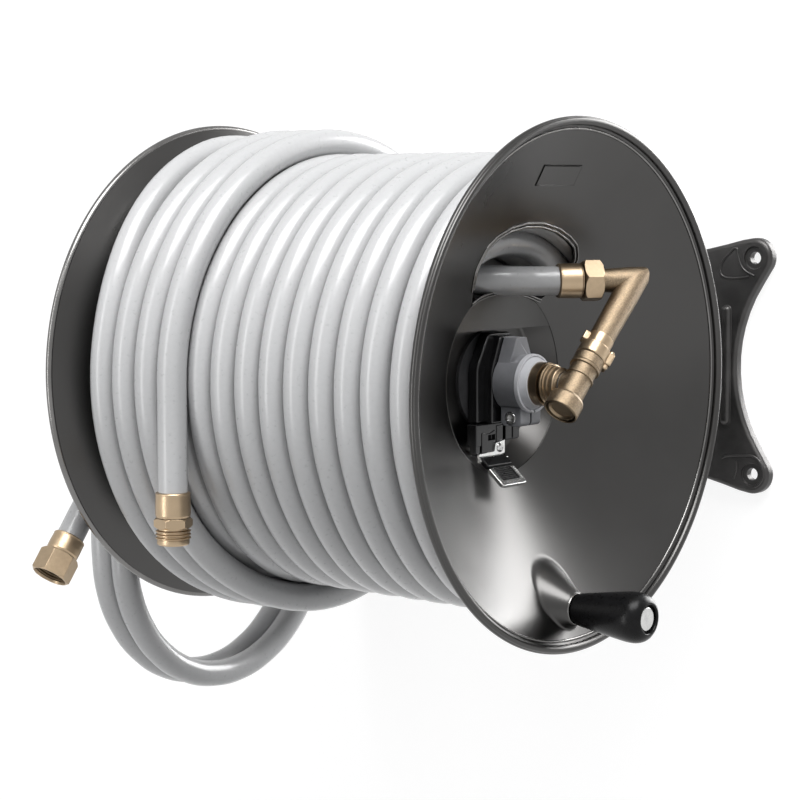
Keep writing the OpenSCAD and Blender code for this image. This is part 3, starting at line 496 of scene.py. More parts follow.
# Winding
LOW_R = LAY_R - 2 * HOSE_R
SIDE_GAP = 1.2
LOW_X = dish_x(LOW_R) - SHEET_X - (HOSE_R + SIDE_GAP) * math.sqrt(1 + SLOPE * SLOPE)
FIRST_X = dish_x(LAY_R) - SHEET_X - (HOSE_R + SIDE_GAP) * math.sqrt(1 + SLOPE * SLOPE)
FIRST_STEP = 27.2
WIDE_TURNS, TOP_TURNS = 13, 4
TURN_STEP = (2 * FIRST_X - FIRST_STEP) / (WIDE_TURNS - 2)
CROSS_FROM, CROSS_TO = 200, 290
START_ANGLE, CLIMB = 292, 70
LAP_RISE, CROSS_RISE = 19.7, 4.2
TOP_R = LAY_R + LAP_RISE
LAST_LOW = WIDE_TURNS - 1
LIFT_FROM = CROSS_TO + 360 * LAST_LOW + 120
LIFT_TURN = 60


def turn_places():
    """Where each turn of the outer layer and of the part layer on top lies along the axis."""
    low = [FIRST_X] + [FIRST_X - FIRST_STEP - i * TURN_STEP for i in range(WIDE_TURNS - 1)]
    return low + [-FIRST_X + (i + 0.5) * TURN_STEP for i in range(1, TOP_TURNS)]


TURN_X = turn_places()
TURNS = len(TURN_X)
END_ANGLE = 180 + 360 * TURNS
END_ARC = 40
END_LOW = (TURN_X[-1], -TOP_R, -81.0)


def wound_point(a):
    """The outer layer's line at angle a: it climbs, crosses over once a turn, and laps back on itself."""
    n = int(min(TURNS - 1, (a - CROSS_TO) // 360))
    cross = ease((a - CROSS_TO - n * 360 - (360 - CROSS_TO + CROSS_FROM)) / (CROSS_TO - CROSS_FROM))
    shift = ease((a - LIFT_FROM - LIFT_TURN) / LIFT_TURN)
    here = TURN_X[n] + (TURN_STEP / 2 * shift if n == LAST_LOW else 0)
    lane = here + (TURN_X[min(n + 1, TURNS - 1)] - here) * cross
    climb = ease((a - START_ANGLE) / CLIMB)
    hump = 0 if n < LAST_LOW else CROSS_RISE * (1 - (2 * cross - 1) ** 4)
    r = LOW_R + 2 * HOSE_R * climb + LAP_RISE * ease((a - LIFT_FROM) / LIFT_TURN) + hump
    return (LOW_X + (lane - LOW_X) * climb, *polar(r, a))


def layer_points(radius, x0, x1):
    """One hidden layer: a plain spiral from x0 to x1 that crosses over once a turn."""
    out = []
    for a in range(0, 360 * int((x0 - x1) / TURN_STEP) + 1, 6):
        n, part = divmod(a, 360)
        out.append((x0 - TURN_STEP * (n + ease((part - 250) / 90)), *polar(radius, a)))
    return out


# Feed hose, from the ferrule under the pipe through the arch and round into the innermost layer
ELBOW = Vector((180, 75, 76.6))
LEAN = (ELBOW - Vector((SWIVEL_X, 0, 0))).normalized()
OUTLET = Vector((-40, -45.8, 0)).normalized()
OUTLET_L = 60.8
FEED_START = ELBOW + OUTLET_L * OUTLET
FEED_DIR = Vector((-14, -17, 1)).normalized()
FEED_IN = Vector((112, -7, 77.5))


def feed_points():
    """The feed hose's line, from its ferrule through the arch and round into the innermost layer."""
    out = [FEED_START + far * OUTLET for far in (0, 9, 20)]
    out += [FEED_IN + far * FEED_DIR for far in (-8, 0, 20, 40)]
    return out + [(78.5 - 0.9 * k, *polar(86.5 - 13.2 * ease(k / 5), 131 + 15 * k)) for k in range(8)]


# ------------------------------------------------------------------ finishes
RING_DEPTH = 0.03
BUMP_DEPTH = 0.0004
MOTTLE_SPAN = (0.35, 0.65)
METAL = {"Metallic": 1.0}


def gloss(level):
    return {"Specular IOR Level": level}


# Each finish: a colour of the look with its two factors, or its dark and light tone; roughness from and to;
# the grain of its mottling; strength and grain of its bump; its shine; the line that its turning rings run
# round, if any; and the span of its mottling where that isn't the usual one.
TURNED = (("brass", 1.00, 1.10), (0.33, 0.38), 60, 0.16, 60, METAL)
FINISHES = {
    "spun_metal": (("side", 0.94, 1.06), (0.27, 0.33), 9, 0.04, 2600, METAL),
    # The sides' own colour at 2.3 to 2.7 times: a painted highlight on the rolled beads, hems, tip ring and
    # far rim.
    "bead_metal": (("side", 2.3, 2.7), (0.22, 0.28), 40, 0.03, 2000, METAL),
    "cast_coat": (("cast", 0.88, 1.12), (0.34, 0.44), 60, 0.22, 1400, {"Metallic": 0.8}),
    "cast_brass": (("brass", 0.40, 0.72), (0.30, 0.44), 900, 0.75, 2000, METAL, None, (0.3, 0.7)),
    "end_brass": (*TURNED, (0, 0, 1)),
    "feed_brass": (*TURNED, OUTLET),
    "leader_brass": (*TURNED, TAIL_DIR),
    "axis_brass": (*TURNED, (1, 0, 0)),
    "machined_brass": (("brass", 0.98, 1.08), (0.30, 0.35), 300, 0.06, 1800, METAL),
    # The spindle's and plug's own darker brass, also laid inside the coupling's socket as painted shade.
    "spindle_brass": (("brass", 0.60, 0.74), (0.32, 0.40), 50, 0.20, 40, METAL, (1, 0, 0)),
    "hose_skin": (("hose", 0.985, 1.015), (0.27, 0.32), 300, 0.14, 210,
                  {"Coat Weight": 0.30, "Coat Roughness": 0.16}),
    "black_moulding": (((0.0045, 0.0045, 0.005), (0.008, 0.008, 0.009)), (0.16, 0.24), 120, 0.05, 1600,
                       gloss(0.5)),
    "knob_black": (((0.0040, 0.0040, 0.0042), (0.0065, 0.0065, 0.007)), (0.26, 0.32), 300, 0.05, 1600,
                   gloss(0.16)),
    "grey_moulding": (((0.200, 0.203, 0.216), (0.225, 0.228, 0.242)), (0.40, 0.50), 90, 0.10, 1500,
                      gloss(0.35)),
    "pale_liner": (((0.50, 0.505, 0.53), (0.56, 0.565, 0.59)), (0.38, 0.48), 80, 0.08, 1500, gloss(0.35)),
    "bearing_grey": (((0.030, 0.030, 0.032), (0.042, 0.042, 0.044)), (0.42, 0.52), 90, 0.10, 1500,
                     gloss(0.3)),
    "bright_steel": (((0.55, 0.55, 0.55), (0.68, 0.68, 0.67)), (0.20, 0.30), 160, 0.06, 1500, METAL),
    "polished_chrome": (((0.70, 0.70, 0.69), (0.80, 0.80, 0.79)), (0.18, 0.25), 90, 0.03, 700, METAL),
    "seal_rubber": (((0.010, 0.010, 0.010), (0.018, 0.018, 0.018)), (0.60, 0.75), 200, 0.15, 1800,
                    gloss(0.25)),
    "brake_lining": (((0.060, 0.045, 0.035), (0.110, 0.085, 0.065)), (0.70, 0.85), 500, 0.4, 1500,
                     gloss(0.2)),
}

# The finish of every solid of the record, for those that no piece stands for.
NODE_FINISH = {node: finish for finish, nodes in {
    "spun_metal": "near_flange far_flange name_plate drum_core",
    "cast_coat": "wall_plate support_arm",
    "cast_brass": "swivel_body z_pipe",
    "spindle_brass": "spindle",
    "machined_brass": "spindle_plug inlet_nut inlet_ferrule leader_ferrule coupling_nut swivel_nut "
                      "swivel_plug pipe_clip hose_nut feed_ferrule end_ferrule end_fitting",
    "bright_steel": "arm_bolts arm_clamp_screw snap_ring tie_bolts tie_nuts plate_screw lever_pin crank_axle "
                    "crank_nut knob_cap",
    "polished_chrome": "brake_plate brake_lever",
    "black_moulding": "collar_screw hub_housing brake_block guide_block lever_grip",
    "knob_black": "crank_knob",
    "grey_moulding": "retaining_collar",
    "pale_liner": "collar_liner",
    "bearing_grey": "near_bush far_bush",
    "seal_rubber": "coupling_washer spindle_seals",
    "brake_lining": "brake_shoe",
    "hose_skin": "leader_lead_in leader_coil leader_tail feed_hose hose_layers wound_hose hose_end",
}.items() for node in nodes.split()}


# ------------------------------------------------------------------ properties
class HoseReelLook(bpy.types.PropertyGroup):
    """Colours and light of the finished reel"""
    hose_colour: bpy.props.FloatVectorProperty(
        name="Hose", description="Colour of the hose cover", subtype="COLOR", default=(0.43, 0.432, 0.436),
        min=0, max=1)
    side_colour: bpy.props.FloatVectorProperty(
        name="Drum sides", description="Colour of the dished metal sides", subtype="COLOR",
        default=(0.0750, 0.0735, 0.0720), min=0, max=1)
    cast_colour: bpy.props.FloatVectorProperty(
        name="Castings", description="Coat on the wall plate and arm", subtype="COLOR",
        default=(0.066, 0.064, 0.063), min=0, max=1)
    brass_colour: bpy.props.FloatVectorProperty(
        name="Brass", description="Colour of the water fittings", subtype="COLOR",
        default=(0.435, 0.332, 0.222),
        min=0, max=1)
    lamp_level: bpy.props.FloatProperty(
        name="Lamp level", description="Factor on every lamp", default=1.0, min=0, max=4)


class HoseReelSizes(bpy.types.PropertyGroup):
    """Sizes a maker would change"""
    rim_wire: bpy.props.FloatProperty(
        name="Rim bead", description="Radius of the bead rolled into each rim", unit="LENGTH",
        default=BEAD_R / 1000, min=0.002, max=0.004)
    hem: bpy.props.FloatProperty(
        name="Arch hem", description="Radius of the roll round the hose's arch", unit="LENGTH",
        default=0.0011, min=0.0005, max=0.002)
    sheet: bpy.props.FloatProperty(
        name="Sheet", description="Thickness of the drum sides", unit="LENGTH", default=SHEET_T / 1000,
        min=0.001, max=0.002)


def look():
    return bpy.context.scene.hose_reel_look


def sizes():
    return bpy.context.scene.hose_reel_sizes


# ------------------------------------------------------------------ stage
def light_path(tree):
    return tree.nodes.new("ShaderNodeLightPath").outputs


def seen_background(tree, path):
    """1 where the eye, a reflection or a view through glass meets the background."""
    seen = path["Is Camera Ray"]
    for kind in ("Is Glossy Ray", "Is Transmission Ray"):
        seen = maths(tree, "MAXIMUM", {}, {0: seen, 1: path[kind]})
    return seen


class REEL_OT_stage(bpy.types.Operator):
    """Sets the pale wall and floor, the soft lamps and the camera"""
    bl_idname = "hose_reel.stage"
    bl_label = "Stage"

    def execute(self, context):
        clear_bench()
        wall = self.backdrop("wall", (0, 0.0004, 0.4), (math.pi / 2, 0, 0), 14, 0.75, 0.82, True)
        floor = self.backdrop("floor", (0, 0, -1.6), (0, 0, 0), 40, 0.86, 0.45, False)
        self.world(context)
        for name, place, size, power in (("high_back", (0.72, 2.15, 0.82), (1.3, 1.5), 66),
                                         ("low_back", (-0.12, 2.3, 0.22), (0.9, 1.2), 13),
                                         ("overhead", (0.85, -1.2, 2.25), (2.2, 1.5), 104),
                                         ("front_left", (-0.78, -2.9, 0.45), (0.5, 3.2), 32)):
            self.lamp(name, place, (0.0, -0.25, 0.0), size, power * look().lamp_level)
        bpy.ops.object.camera_add(location=(1.0981, -1.5812, 0.1442),
                                  rotation=(math.radians(84.5217), 0, math.radians(39.3325)))
        camera = context.object
        camera.name = "camera"
        camera.data.lens = 97.62
        camera.data.sensor_width = 36
        camera.data.sensor_fit = "HORIZONTAL"
        camera.data.clip_start = 0.01
        context.scene.camera = camera
        context.scene.view_settings.view_transform = "Standard"
        return {"FINISHED"}

    def backdrop(self, name, place, turn, size, glow, tone, seen_only):
        """A pale plane that keeps a faint shadow: glow is the share of its own light, tone its colour.

        A seen_only one is there for the eye alone, and from its front.
        """
        bpy.ops.mesh.primitive_plane_add(size=size, location=place, rotation=turn)
        piece = bpy.context.object
        piece.name = name
        paint, tree, shader = new_paint(name + "_paint")
        shader.inputs["Roughness"].default_value = 0.9
        shader.inputs["Specular IOR Level"].default_value = 0.1
        _, _, colour = mottled(tree, 3.0, 2.0, (0, 1), [tone] * 3, [tone + 0.02] * 3)
        tree.links.new(colour, shader.inputs["Base Color"])
        white = add_node(tree, "Emission", {"Strength": 1.16}, {})
        path = light_path(tree)
        share = maths(tree, "MULTIPLY", {1: glow}, {0: seen_background(tree, path)})
        out = mixed(tree, share, shader.outputs["BSDF"], white.outputs["Emission"])
        if seen_only:
            clear = tree.nodes.new("ShaderNodeBsdfTransparent").outputs["BSDF"]
            side = tree.nodes.new("ShaderNodeNewGeometry").outputs["Backfacing"]
            front = maths(tree, "SUBTRACT", {0: 1.0}, {1: side})
            out = mixed(tree, maths(tree, "MULTIPLY", {}, {0: front, 1: path["Is Camera Ray"]}), clear, out)
        tree.links.new(out, tree.nodes["Material Output"].inputs["Surface"])
        piece.data.materials.append(paint)
        return piece

    def world(self, context):
        """Soft even light all round, and white where the background itself is seen."""
        world = bpy.data.worlds.new("studio")
        context.scene.world = world
        world.use_nodes = True
        tree = world.node_tree
        soft = tree.nodes["Background"]
        soft.inputs["Color"].default_value = (0.80, 0.81, 0.83, 1)
        soft.inputs["Strength"].default_value = 0.36
        white = add_node(tree, "Background", {"Strength": 1.0}, {})
        out = mixed(tree, seen_background(tree, light_path(tree)), soft.outputs["Background"],
                    white.outputs["Background"])
        tree.links.new(out, tree.nodes["World Output"].inputs["Surface"])

    def lamp(self, name, place, aim, size, power):
        """A soft panel of the given width and height, turned to face aim."""
        bpy.ops.object.light_add(type="AREA", location=place)
        lamp = bpy.context.object
        lamp.name = name
        lamp.rotation_euler = (Vector(aim) - Vector(place)).to_track_quat("-Z", "Y").to_euler()
        lamp.data.shape = "RECTANGLE"
        lamp.data.size, lamp.data.size_y = size
        lamp.data.energy = power
        lamp.visible_camera = False


# ------------------------------------------------------------------ hoses
class REEL_OT_leader(bpy.types.Operator):
    """Runs the leader hose from the arm, twice round behind the drum and down to its coupling"""
    bl_idname = "hose_reel.leader"
    bl_label = "Leader hose"

    def execute(self, context):
        clear_bench()
        hose = tube("leader_hose", leader_points(), HOSE_R)
        fit(hose, "leader_hose", "hose_skin", "hose", "leader_lead_in", "leader_coil", "leader_tail")
        return {"FINISHED"}


class REEL_OT_winding(bpy.types.Operator):
    """Winds the outer turns, the part layer on top and the layers under them"""
    bl_idname = "hose_reel.winding"
    bl_label = "Wound hose"

    def execute(self, context):
        clear_bench()
        span, per_turn = END_ANGLE - END_ARC + 1.2 - START_ANGLE, 120
        count = int(span / 360 * per_turn)
        points = [wound_point(START_ANGLE + span * i / count) for i in range(count + 1)]
        outer = as_mesh(tube("wound_turns", points, HOSE_R, smooth_curve=False, corners=7))
        fit(outer, "wound_turns", "hose_skin", "hose", "wound_hose", degrees=60)
        runs = [as_mesh(tube("layer", layer_points(*run), HOSE_R, smooth_curve=False, corners=2))
                for run in ((144.6, 135.6, -135.6), (125.7, 123.4, -123.4), (107.0, 112.5, -112.5),
                            (89.0, 71.0, -100), (73.3, 46.0, -91))]
        fit(joined(*runs), "inner_turns", "hose_skin", "hose", "hose_layers", degrees=60)
        return {"FINISHED"}


class REEL_OT_hose_end(bpy.types.Operator):
    """Lets the hose's free end down from the last turn to its ferrule"""
    bl_idname = "hose_reel.hose_end"
    bl_label = "Hose end"

    def execute(self, context):
        clear_bench()
        points = [wound_point(END_ANGLE - END_ARC + 5 * i) for i in range(9)]
        points += [(TURN_X[-1], -TOP_R, z) for z in (-20, -40, -60)] + [END_LOW]
        hose = tube("hose_end_run", points, HOSE_R)
        fit(hose, "hose_end_run", "hose_skin", "hose", "hose_end")
        mm(*points[0])
        return {"FINISHED"}


class REEL_OT_feed_hose(bpy.types.Operator):
    """Runs the feed hose from its ferrule through the arch into the innermost layer"""
    bl_idname = "hose_reel.feed_hose"
    bl_label = "Feed hose"

    def execute(self, context):
        clear_bench()
        hose = tube("feed_run", feed_points(), HOSE_R)
        fit(hose, "feed_run", "hose_skin", "hose", "feed_hose")
        return {"FINISHED"}


# ------------------------------------------------------------------ drum sides
def bossed(y, z, x):
    """The dish's front raised to the crank's cone, with a narrow fillet where they meet."""
    reach = math.hypot(y, z + CRANK_R)
    cone = BOSS_BASE_X + (BOSS_BASE_R - reach) * (BOSS_TIP_X - BOSS_BASE_X) / (BOSS_BASE_R - BOSS_TIP_R)
    cone, fillet = min(cone, BOSS_TIP_X), 3.0
    t = max(0.0, fillet - abs(cone - x)) / fillet
    return max(cone, x) + t * t * fillet / 4


def dish_line():
    """The front line of a dished side from its bearing sleeve to the rim, as (x, radius)."""
    return softened([(CUP_X - 16, SLEEVE_R), (CUP_X, SLEEVE_R), (CUP_X, CUP_R), (HALF_HUB, CREASE_R),
                     (HALF_RIM, DISH_R)], [0, 0.8, 3.5, 3.0, 0], 4)


def flip(piece):
    open_up(piece)
    bpy.ops.mesh.flip_normals()
    close_up()


class REEL_OT_sides(bpy.types.Operator):
    """Spins the two dished sides, draws up the crank's boss, cuts the arch and rolls its hem"""
    bl_idname = "hose_reel.sides"
    bl_label = "Drum sides"

    def execute(self, context):
        clear_bench()
        for name, sign in (("near_side", 1), ("far_side", -1)):
            side = self.dish(sign)
            if sign > 0:
                cut_with(side, self.arch_cutter())
                side = joined(side, self.rim(sign), self.shelf(), self.crease())
                edges = [self.fine_bead(), self.tip_ring(), *self.hems()]
            else:
                edges = [self.rim(sign)]
            plain = len(side.data.polygons)
            side = joined(side, *edges)
            fit(side, name, "spun_metal", "sheet", "near_flange" if sign > 0 else "far_flange", degrees=40)
            # The fine bead, tip ring, hems and far rim take the brighter copy of the sheet's finish, a
            # painted highlight along their rolled edges.
            side.data.materials.append(finish_of("bead_metal"))
            for f in side.data.polygons[plain:]:
                f.material_index = 1
        return {"FINISHED"}

    def dish(self, sign):
        """Spins one dished sheet, the near one finer and with the crank's boss, the far one mirrored."""
        line = dish_line()
        head, foot = Vector(line[-1]), Vector(line[-2])
        cuts = 40 if sign > 0 else 6
        line = line[:-1] + [tuple(foot.lerp(head, (i + 1) / cuts)) for i in range(cuts)]
        piece = loop_of("dish", [mm(x, 0, r) for x, r in line])
        ends = {0, len(line) - 1}
        pick_parts(piece, "EDGE", lambda e: set(e.vertices) == ends)
        bpy.ops.mesh.delete(type="EDGE")
        bpy.ops.mesh.select_all(action="SELECT")
        bpy.ops.mesh.spin(steps=360 if sign > 0 else 180, angle=2 * math.pi, center=mm(0, 0, 0),
                          axis=(1, 0, 0))
        close_up()
        weld_up(piece)
        if sign > 0:
            self.draw_boss(piece)
        widest = max(piece.data.polygons, key=lambda f: abs(f.normal.x) * f.area)
        if widest.normal.x < 0:
            flip(piece)
        if sign < 0:
            for v in piece.data.vertices:
                v.co.x = -v.co.x
            flip(piece)
        add_finish(piece, "SOLIDIFY", thickness=sizes().sheet, offset=-1, use_even_offset=True)
        return piece

    def draw_boss(self, piece):
        """Cuts the sheet finer round the crank and draws the cone up out of it."""
        cup = 100

        def spot(co):
            """A place on the sheet in millimetres, and how far it is from the crank's line and the drum's."""
            x, y, z = co.x * 1000, co.y * 1000 + WALL_GAP, co.z * 1000
            return (y, z, x), math.hypot(y, z + CRANK_R), math.hypot(y, z)

        def near_crank(face):
            _, reach, far = spot(face.center)
            return reach < BOSS_BASE_R + 6 and cup < far < DISH_R - 1

        pick_parts(piece, "FACE", near_crank)
        bpy.ops.mesh.subdivide(number_cuts=3)
        close_up()
        for v in piece.data.vertices:
            place, reach, far = spot(v.co)
            if reach < BOSS_BASE_R + 8 and far > cup:
                v.co.x = bossed(*place) / 1000

    def rim(self, sign):
        """The rolled bead, with a shallow line pressed into the near side's."""
        r = sizes().rim_wire * 1000
        at_x, at_r = HALF_RIM - SHEET_X / 2, DISH_R - 0.5
        if sign < 0:
            at_x, r = at_x + 1.9, r - 0.4
        ring = []
        for i in range(40):
            a = 2 * math.pi * i / 40
            deep = r - (0.5 * math.exp(-((math.degrees(a) - 54) / 10) ** 2) if sign > 0 else 0)
            ring.append((sign * (at_x + deep * math.cos(a)), at_r + deep * math.sin(a)))
        return turned("rim", ring, steps=256, degrees=60)

    def fine_bead(self):
        """The fine bead pressed inside the near rim."""
        at_r, wire = DISH_R - 6.2, 1.15
        ring = [(dish_x(at_r) + wire * math.cos(a), at_r + wire * math.sin(a))
                for a in [2 * math.pi * i / 14 for i in range(14)]]
        return turned("fine_bead", ring, steps=256, degrees=60)

    def arch_cutter(self):
        return pressed("arch", 0, HALF_HUB - 6, softened(ARCH + SILL, 5, 2), HALF_RIM - HALF_HUB)

    def shelf(self):
        """The flat above the hub that carries the sill, with its lip turned back to the cup's floor."""
        front, t = HALF_HUB - 0.3, SHEET_T
        half = math.sqrt(CREASE_R ** 2 - SHELF_Z ** 2)
        start = math.atan2(SHELF_Z, half)
        rim = [(CREASE_R * math.cos(a), CREASE_R * math.sin(a))
               for a in [start + (math.pi - 2 * start) * i / 48 for i in range(49)]]
        plate = pressed("shelf", 0, front - t, rim, t)
        floor_half = math.sqrt(CUP_R ** 2 - SHELF_Z ** 2)
        corners = [(CUP_X - t, -floor_half), (front, -half), (front, half), (CUP_X - t, floor_half)]
        fused(plate, pressed("shelf_lip", 2, SHELF_Z, corners, t))
        cut_with(plate, self.arch_cutter())
        return plate

    def tip_ring(self):
        """The shoulder that the knob runs against; its finish carries a painted highlight."""
        x, r = BOSS_TIP_X, BOSS_TIP_R
        return turned("tip_ring", softened([(x - 5, r - 3), (x - 5, r + 1.6), (x - 1.2, r + 0.5),
                                            (x + 0.5, r - 0.2), (x + 0.5, r - 3)], 0.5, 3), (0, -CRANK_R))

    def crease(self):
        """The fine line where the dish turns in to the cup, outside the arch."""
        x, r, wire = HALF_HUB - 0.5, CREASE_R, 0.7
        ring = [(x + wire * math.cos(a), r + wire * math.sin(a))
                for a in [math.pi * i / 5 for i in range(10)]]
        line = turned("crease", ring, steps=192, degrees=70)
        cut_with(line, self.arch_cutter())
        return line

    def hems(self):
        """Two fine rolls beside each other round the arch and along the sill."""
        wire = sizes().hem * 1000
        around = softened(ARCH, 9, 5)[6:-6]
        along = [ARCH[-1]] + SILL + [ARCH[0]]
        out = []
        for run, gap, size in ((around, 0.5, wire), (around, 3.2, wire * 0.9), (along, 0.3, wire * 0.8),
                               (along, 2.2, wire * 0.6)):
            points = []
            for i, (y, z) in enumerate(run):
                before, after = Vector(run[max(i - 1, 0)]), Vector(run[min(i + 1, len(run) - 1)])
                way = (after - before).normalized()
                y, z = y - way.y * gap, z + way.x * gap
                points.append((max(dish_x(math.hypot(y, z)), HALF_HUB - 0.3) + 0.3, y, z))
            out.append(as_mesh(tube("hem", points, size, corners=3)))
        return out


class REEL_OT_name_plate(bpy.types.Operator):
    """Presses the bare plate on the dish, with its raised edge"""
    bl_idname = "hose_reel.name_plate"
    bl_label = "Bare plate"

    def execute(self, context):
        clear_bench()
        plate = copy_of_solid("name_plate")
        pick_parts(plate, "FACE", lambda f: f.normal.x > 0.6)
        bpy.ops.mesh.inset(thickness=0.0011, depth=-0.00045, use_boundary=True)
        close_up()
        round_edges(plate, 0.15, 2, 40)
        fit(plate, "bare_name_plate", "spun_metal", "plate", "name_plate", degrees=40)
        return {"FINISHED"}


# ------------------------------------------------------------------ bracket
class REEL_OT_bracket(bpy.types.Operator):
    """Casts the wall plate with its four ears, and the arm"""
    bl_idname = "hose_reel.bracket"
    bl_label = "Wall plate and arm"

    def execute(self, context):
        clear_bench()
        y = WALL_GAP - 10
        plate = pressed("plate", 1, y, self.outline(), 14, width=3.6, segments=5, degrees=40)
        cut_with(plate, block("wall_side", (-230, WALL_GAP, -130), (230, WALL_GAP + 20, 130), 0.01, 1))
        for x in (-163, 163):
            fused(plate, block("ridge", (x - 4.5, y - 4.0, -50), (x + 4.5, y + 6, 50), 4.0, 6))
        for x in (-HOLE_X, HOLE_X):
            for z in (-HOLE_Z, HOLE_Z):
                cut_with(plate, rod("seat", (x, y - 4, z), (x, y + 2.3, z), 9.2, corners=64))
                cut_with(plate, rod("hole", (x, y - 4, z), (x, y + 16, z), 5.0, corners=48))
        round_edges(plate, 0.5, 2, 60)
        beads = [as_mesh(tube("bead", [(sx * x, y - 0.1, z) for x, z in run], 1.0, corners=3))
                 for sx in (-1, 1) for run in self.beads()]
        fit(joined(plate, *beads), "cast_wall_plate", "cast_coat", "cast", "wall_plate", degrees=40)
        fit(copy_of_solid("support_arm", 1.4, 3), "cast_arm", "cast_coat", "cast", "support_arm")
        return {"FINISHED"}

    def outline(self):
        """Four round ears joined by shallow arcs at top and bottom and deep ones at the ends."""
        waist_z, rise, side, ear = 82, 26, 120.7, 16.2
        reach = (HOLE_X ** 2 + rise ** 2) / (2 * rise)
        quarter = [(x, waist_z + reach - math.sqrt(reach ** 2 - x ** 2)) for x in range(0, 177, 16)]
        for a in range(100, -31, -10):
            across, up = polar(ear, a)
            quarter.append((187.6 + across, 90.2 + up))
        quarter += [(171.6 + side - math.sqrt(side ** 2 - z * z), z) for z in (68, 56, 44, 32, 20, 7)]
        half = quarter + [(x, -z) for x, z in reversed(quarter) if x > 0]
        return half + [(-x, -z) for x, z in half if x > 0]

    def beads(self):
        """The raised lines round the scooped part of the upper ear and round the lower ear's pad."""
        return ([(156, 79), (158, 86), (164, 92.5), (171.5, 97.6), (172.6, 93), (174, 88.5), (178, 81),
                 (188.5, 75.2)],
                [(156, 79), (158, 75), (162, 73.4), (172, 73), (184, 74.6)],
                [(160, -79), (163, -77), (168, -76), (180, -74.8), (190, -74.5), (195, -77), (199, -84),
                 (200, -91), (197, -97), (192, -100.5)],
                [(174.5, -80), (174.6, -87), (172, -95)])


# ------------------------------------------------------------------ hub
class REEL_OT_hub(bpy.types.Operator):
    """Moulds the housing and the brake's two blocks round the spindle"""
    bl_idname = "hose_reel.hub"
    bl_label = "Hub housing and blocks"

    def execute(self, context):
        clear_bench()
        x0, x1, step = HUB_X, 116.0, 8
        wide = softened([(-28.5, -31), (-28.5, 12), (-14, 37.5), (13, 37.5), (28.5, 12), (28.5, -31)],
                        [0, 16, 6, 5, 14, 0], 6)
        slim = softened([(-20.5, -31), (-20.5, 10), (-10, 35.5), (10, 35.5), (20.5, 10), (20.5, -31)],
                        [0, 16, 5, 5, 14, 0], 6)
        housing = pressed("housing", 0, x0, wide, 9.5, width=1.8, segments=3)
        fused(housing, pressed("front", 0, x0 + step, slim, x1 - x0 - step, width=1.6, segments=3))
        cut_with(housing, rod("bore", (x0 - 2, 0, 0), (x1 + 2, 0, 0), SPINDLE_R + 1, corners=64))
        fit(housing, "housing", "black_moulding", "black", "hub_housing", degrees=40)
        self.brake_block()
        self.guide_block()
        return {"FINISHED"}

    def brake_block(self):
        """The brake's block: a body, a stepped face with a post on each side, and a slot."""
        x1, y0, y1, z0, z1, toe = 111.8, -34.0, -1.0, -55.0, -31.01, -48.0
        body = block("brake_body", (102.0, y0, toe), (x1 - 0.6, y1, z1), 1.0, 3)
        face = softened([(y0 + 6.5, z0), (y1 - 9.5, z0), (y1 - 9.5, z1 - 5), (y0 + 17, z1 - 7.5),
                         (y0 + 11, z1 - 7.5), (y0 + 6.5, z1 - 6)], 0.8, 2)
        fused(body, pressed("face", 0, x1 - 6, face, 6, width=0.5))
        fused(body, block("left", (x1 - 7, y0, z0 + 0.6), (x1 - 0.9, y0 + 5.4, z1 - 5.5), 0.7, 2))
        fused(body, block("right", (x1 - 6, y1 - 8.0, z0), (x1, y1, z1 - 2), 0.6, 2))
        cut_with(body, block("slot", (x1 - 4, y0 + 14, z1 - 13), (x1 + 2, y0 + 23.4, z1 - 8.6), 0.4, 1))
        fit(body, "brake_block_moulding", "black_moulding", "black", "brake_block", degrees=40)

    def guide_block(self):
        """The guide's block with its two ribs."""
        x1, y0, y1, z0, z1 = 109.8, 5.0, 23.0, -46.0, -31.01
        body = block("guide", (98.8, y0, z0), (x1 - 0.8, y1, z1), 0.9, 3)
        for lo, hi in ((y0, y0 + 7.6), (y0 + 9.6, y1)):
            fused(body, block("rib", (x1 - 5, lo, z0 + 1), (x1, hi, z1), 0.6, 2))
        fit(body, "guide_moulding", "black_moulding", "black", "guide_block", degrees=40)


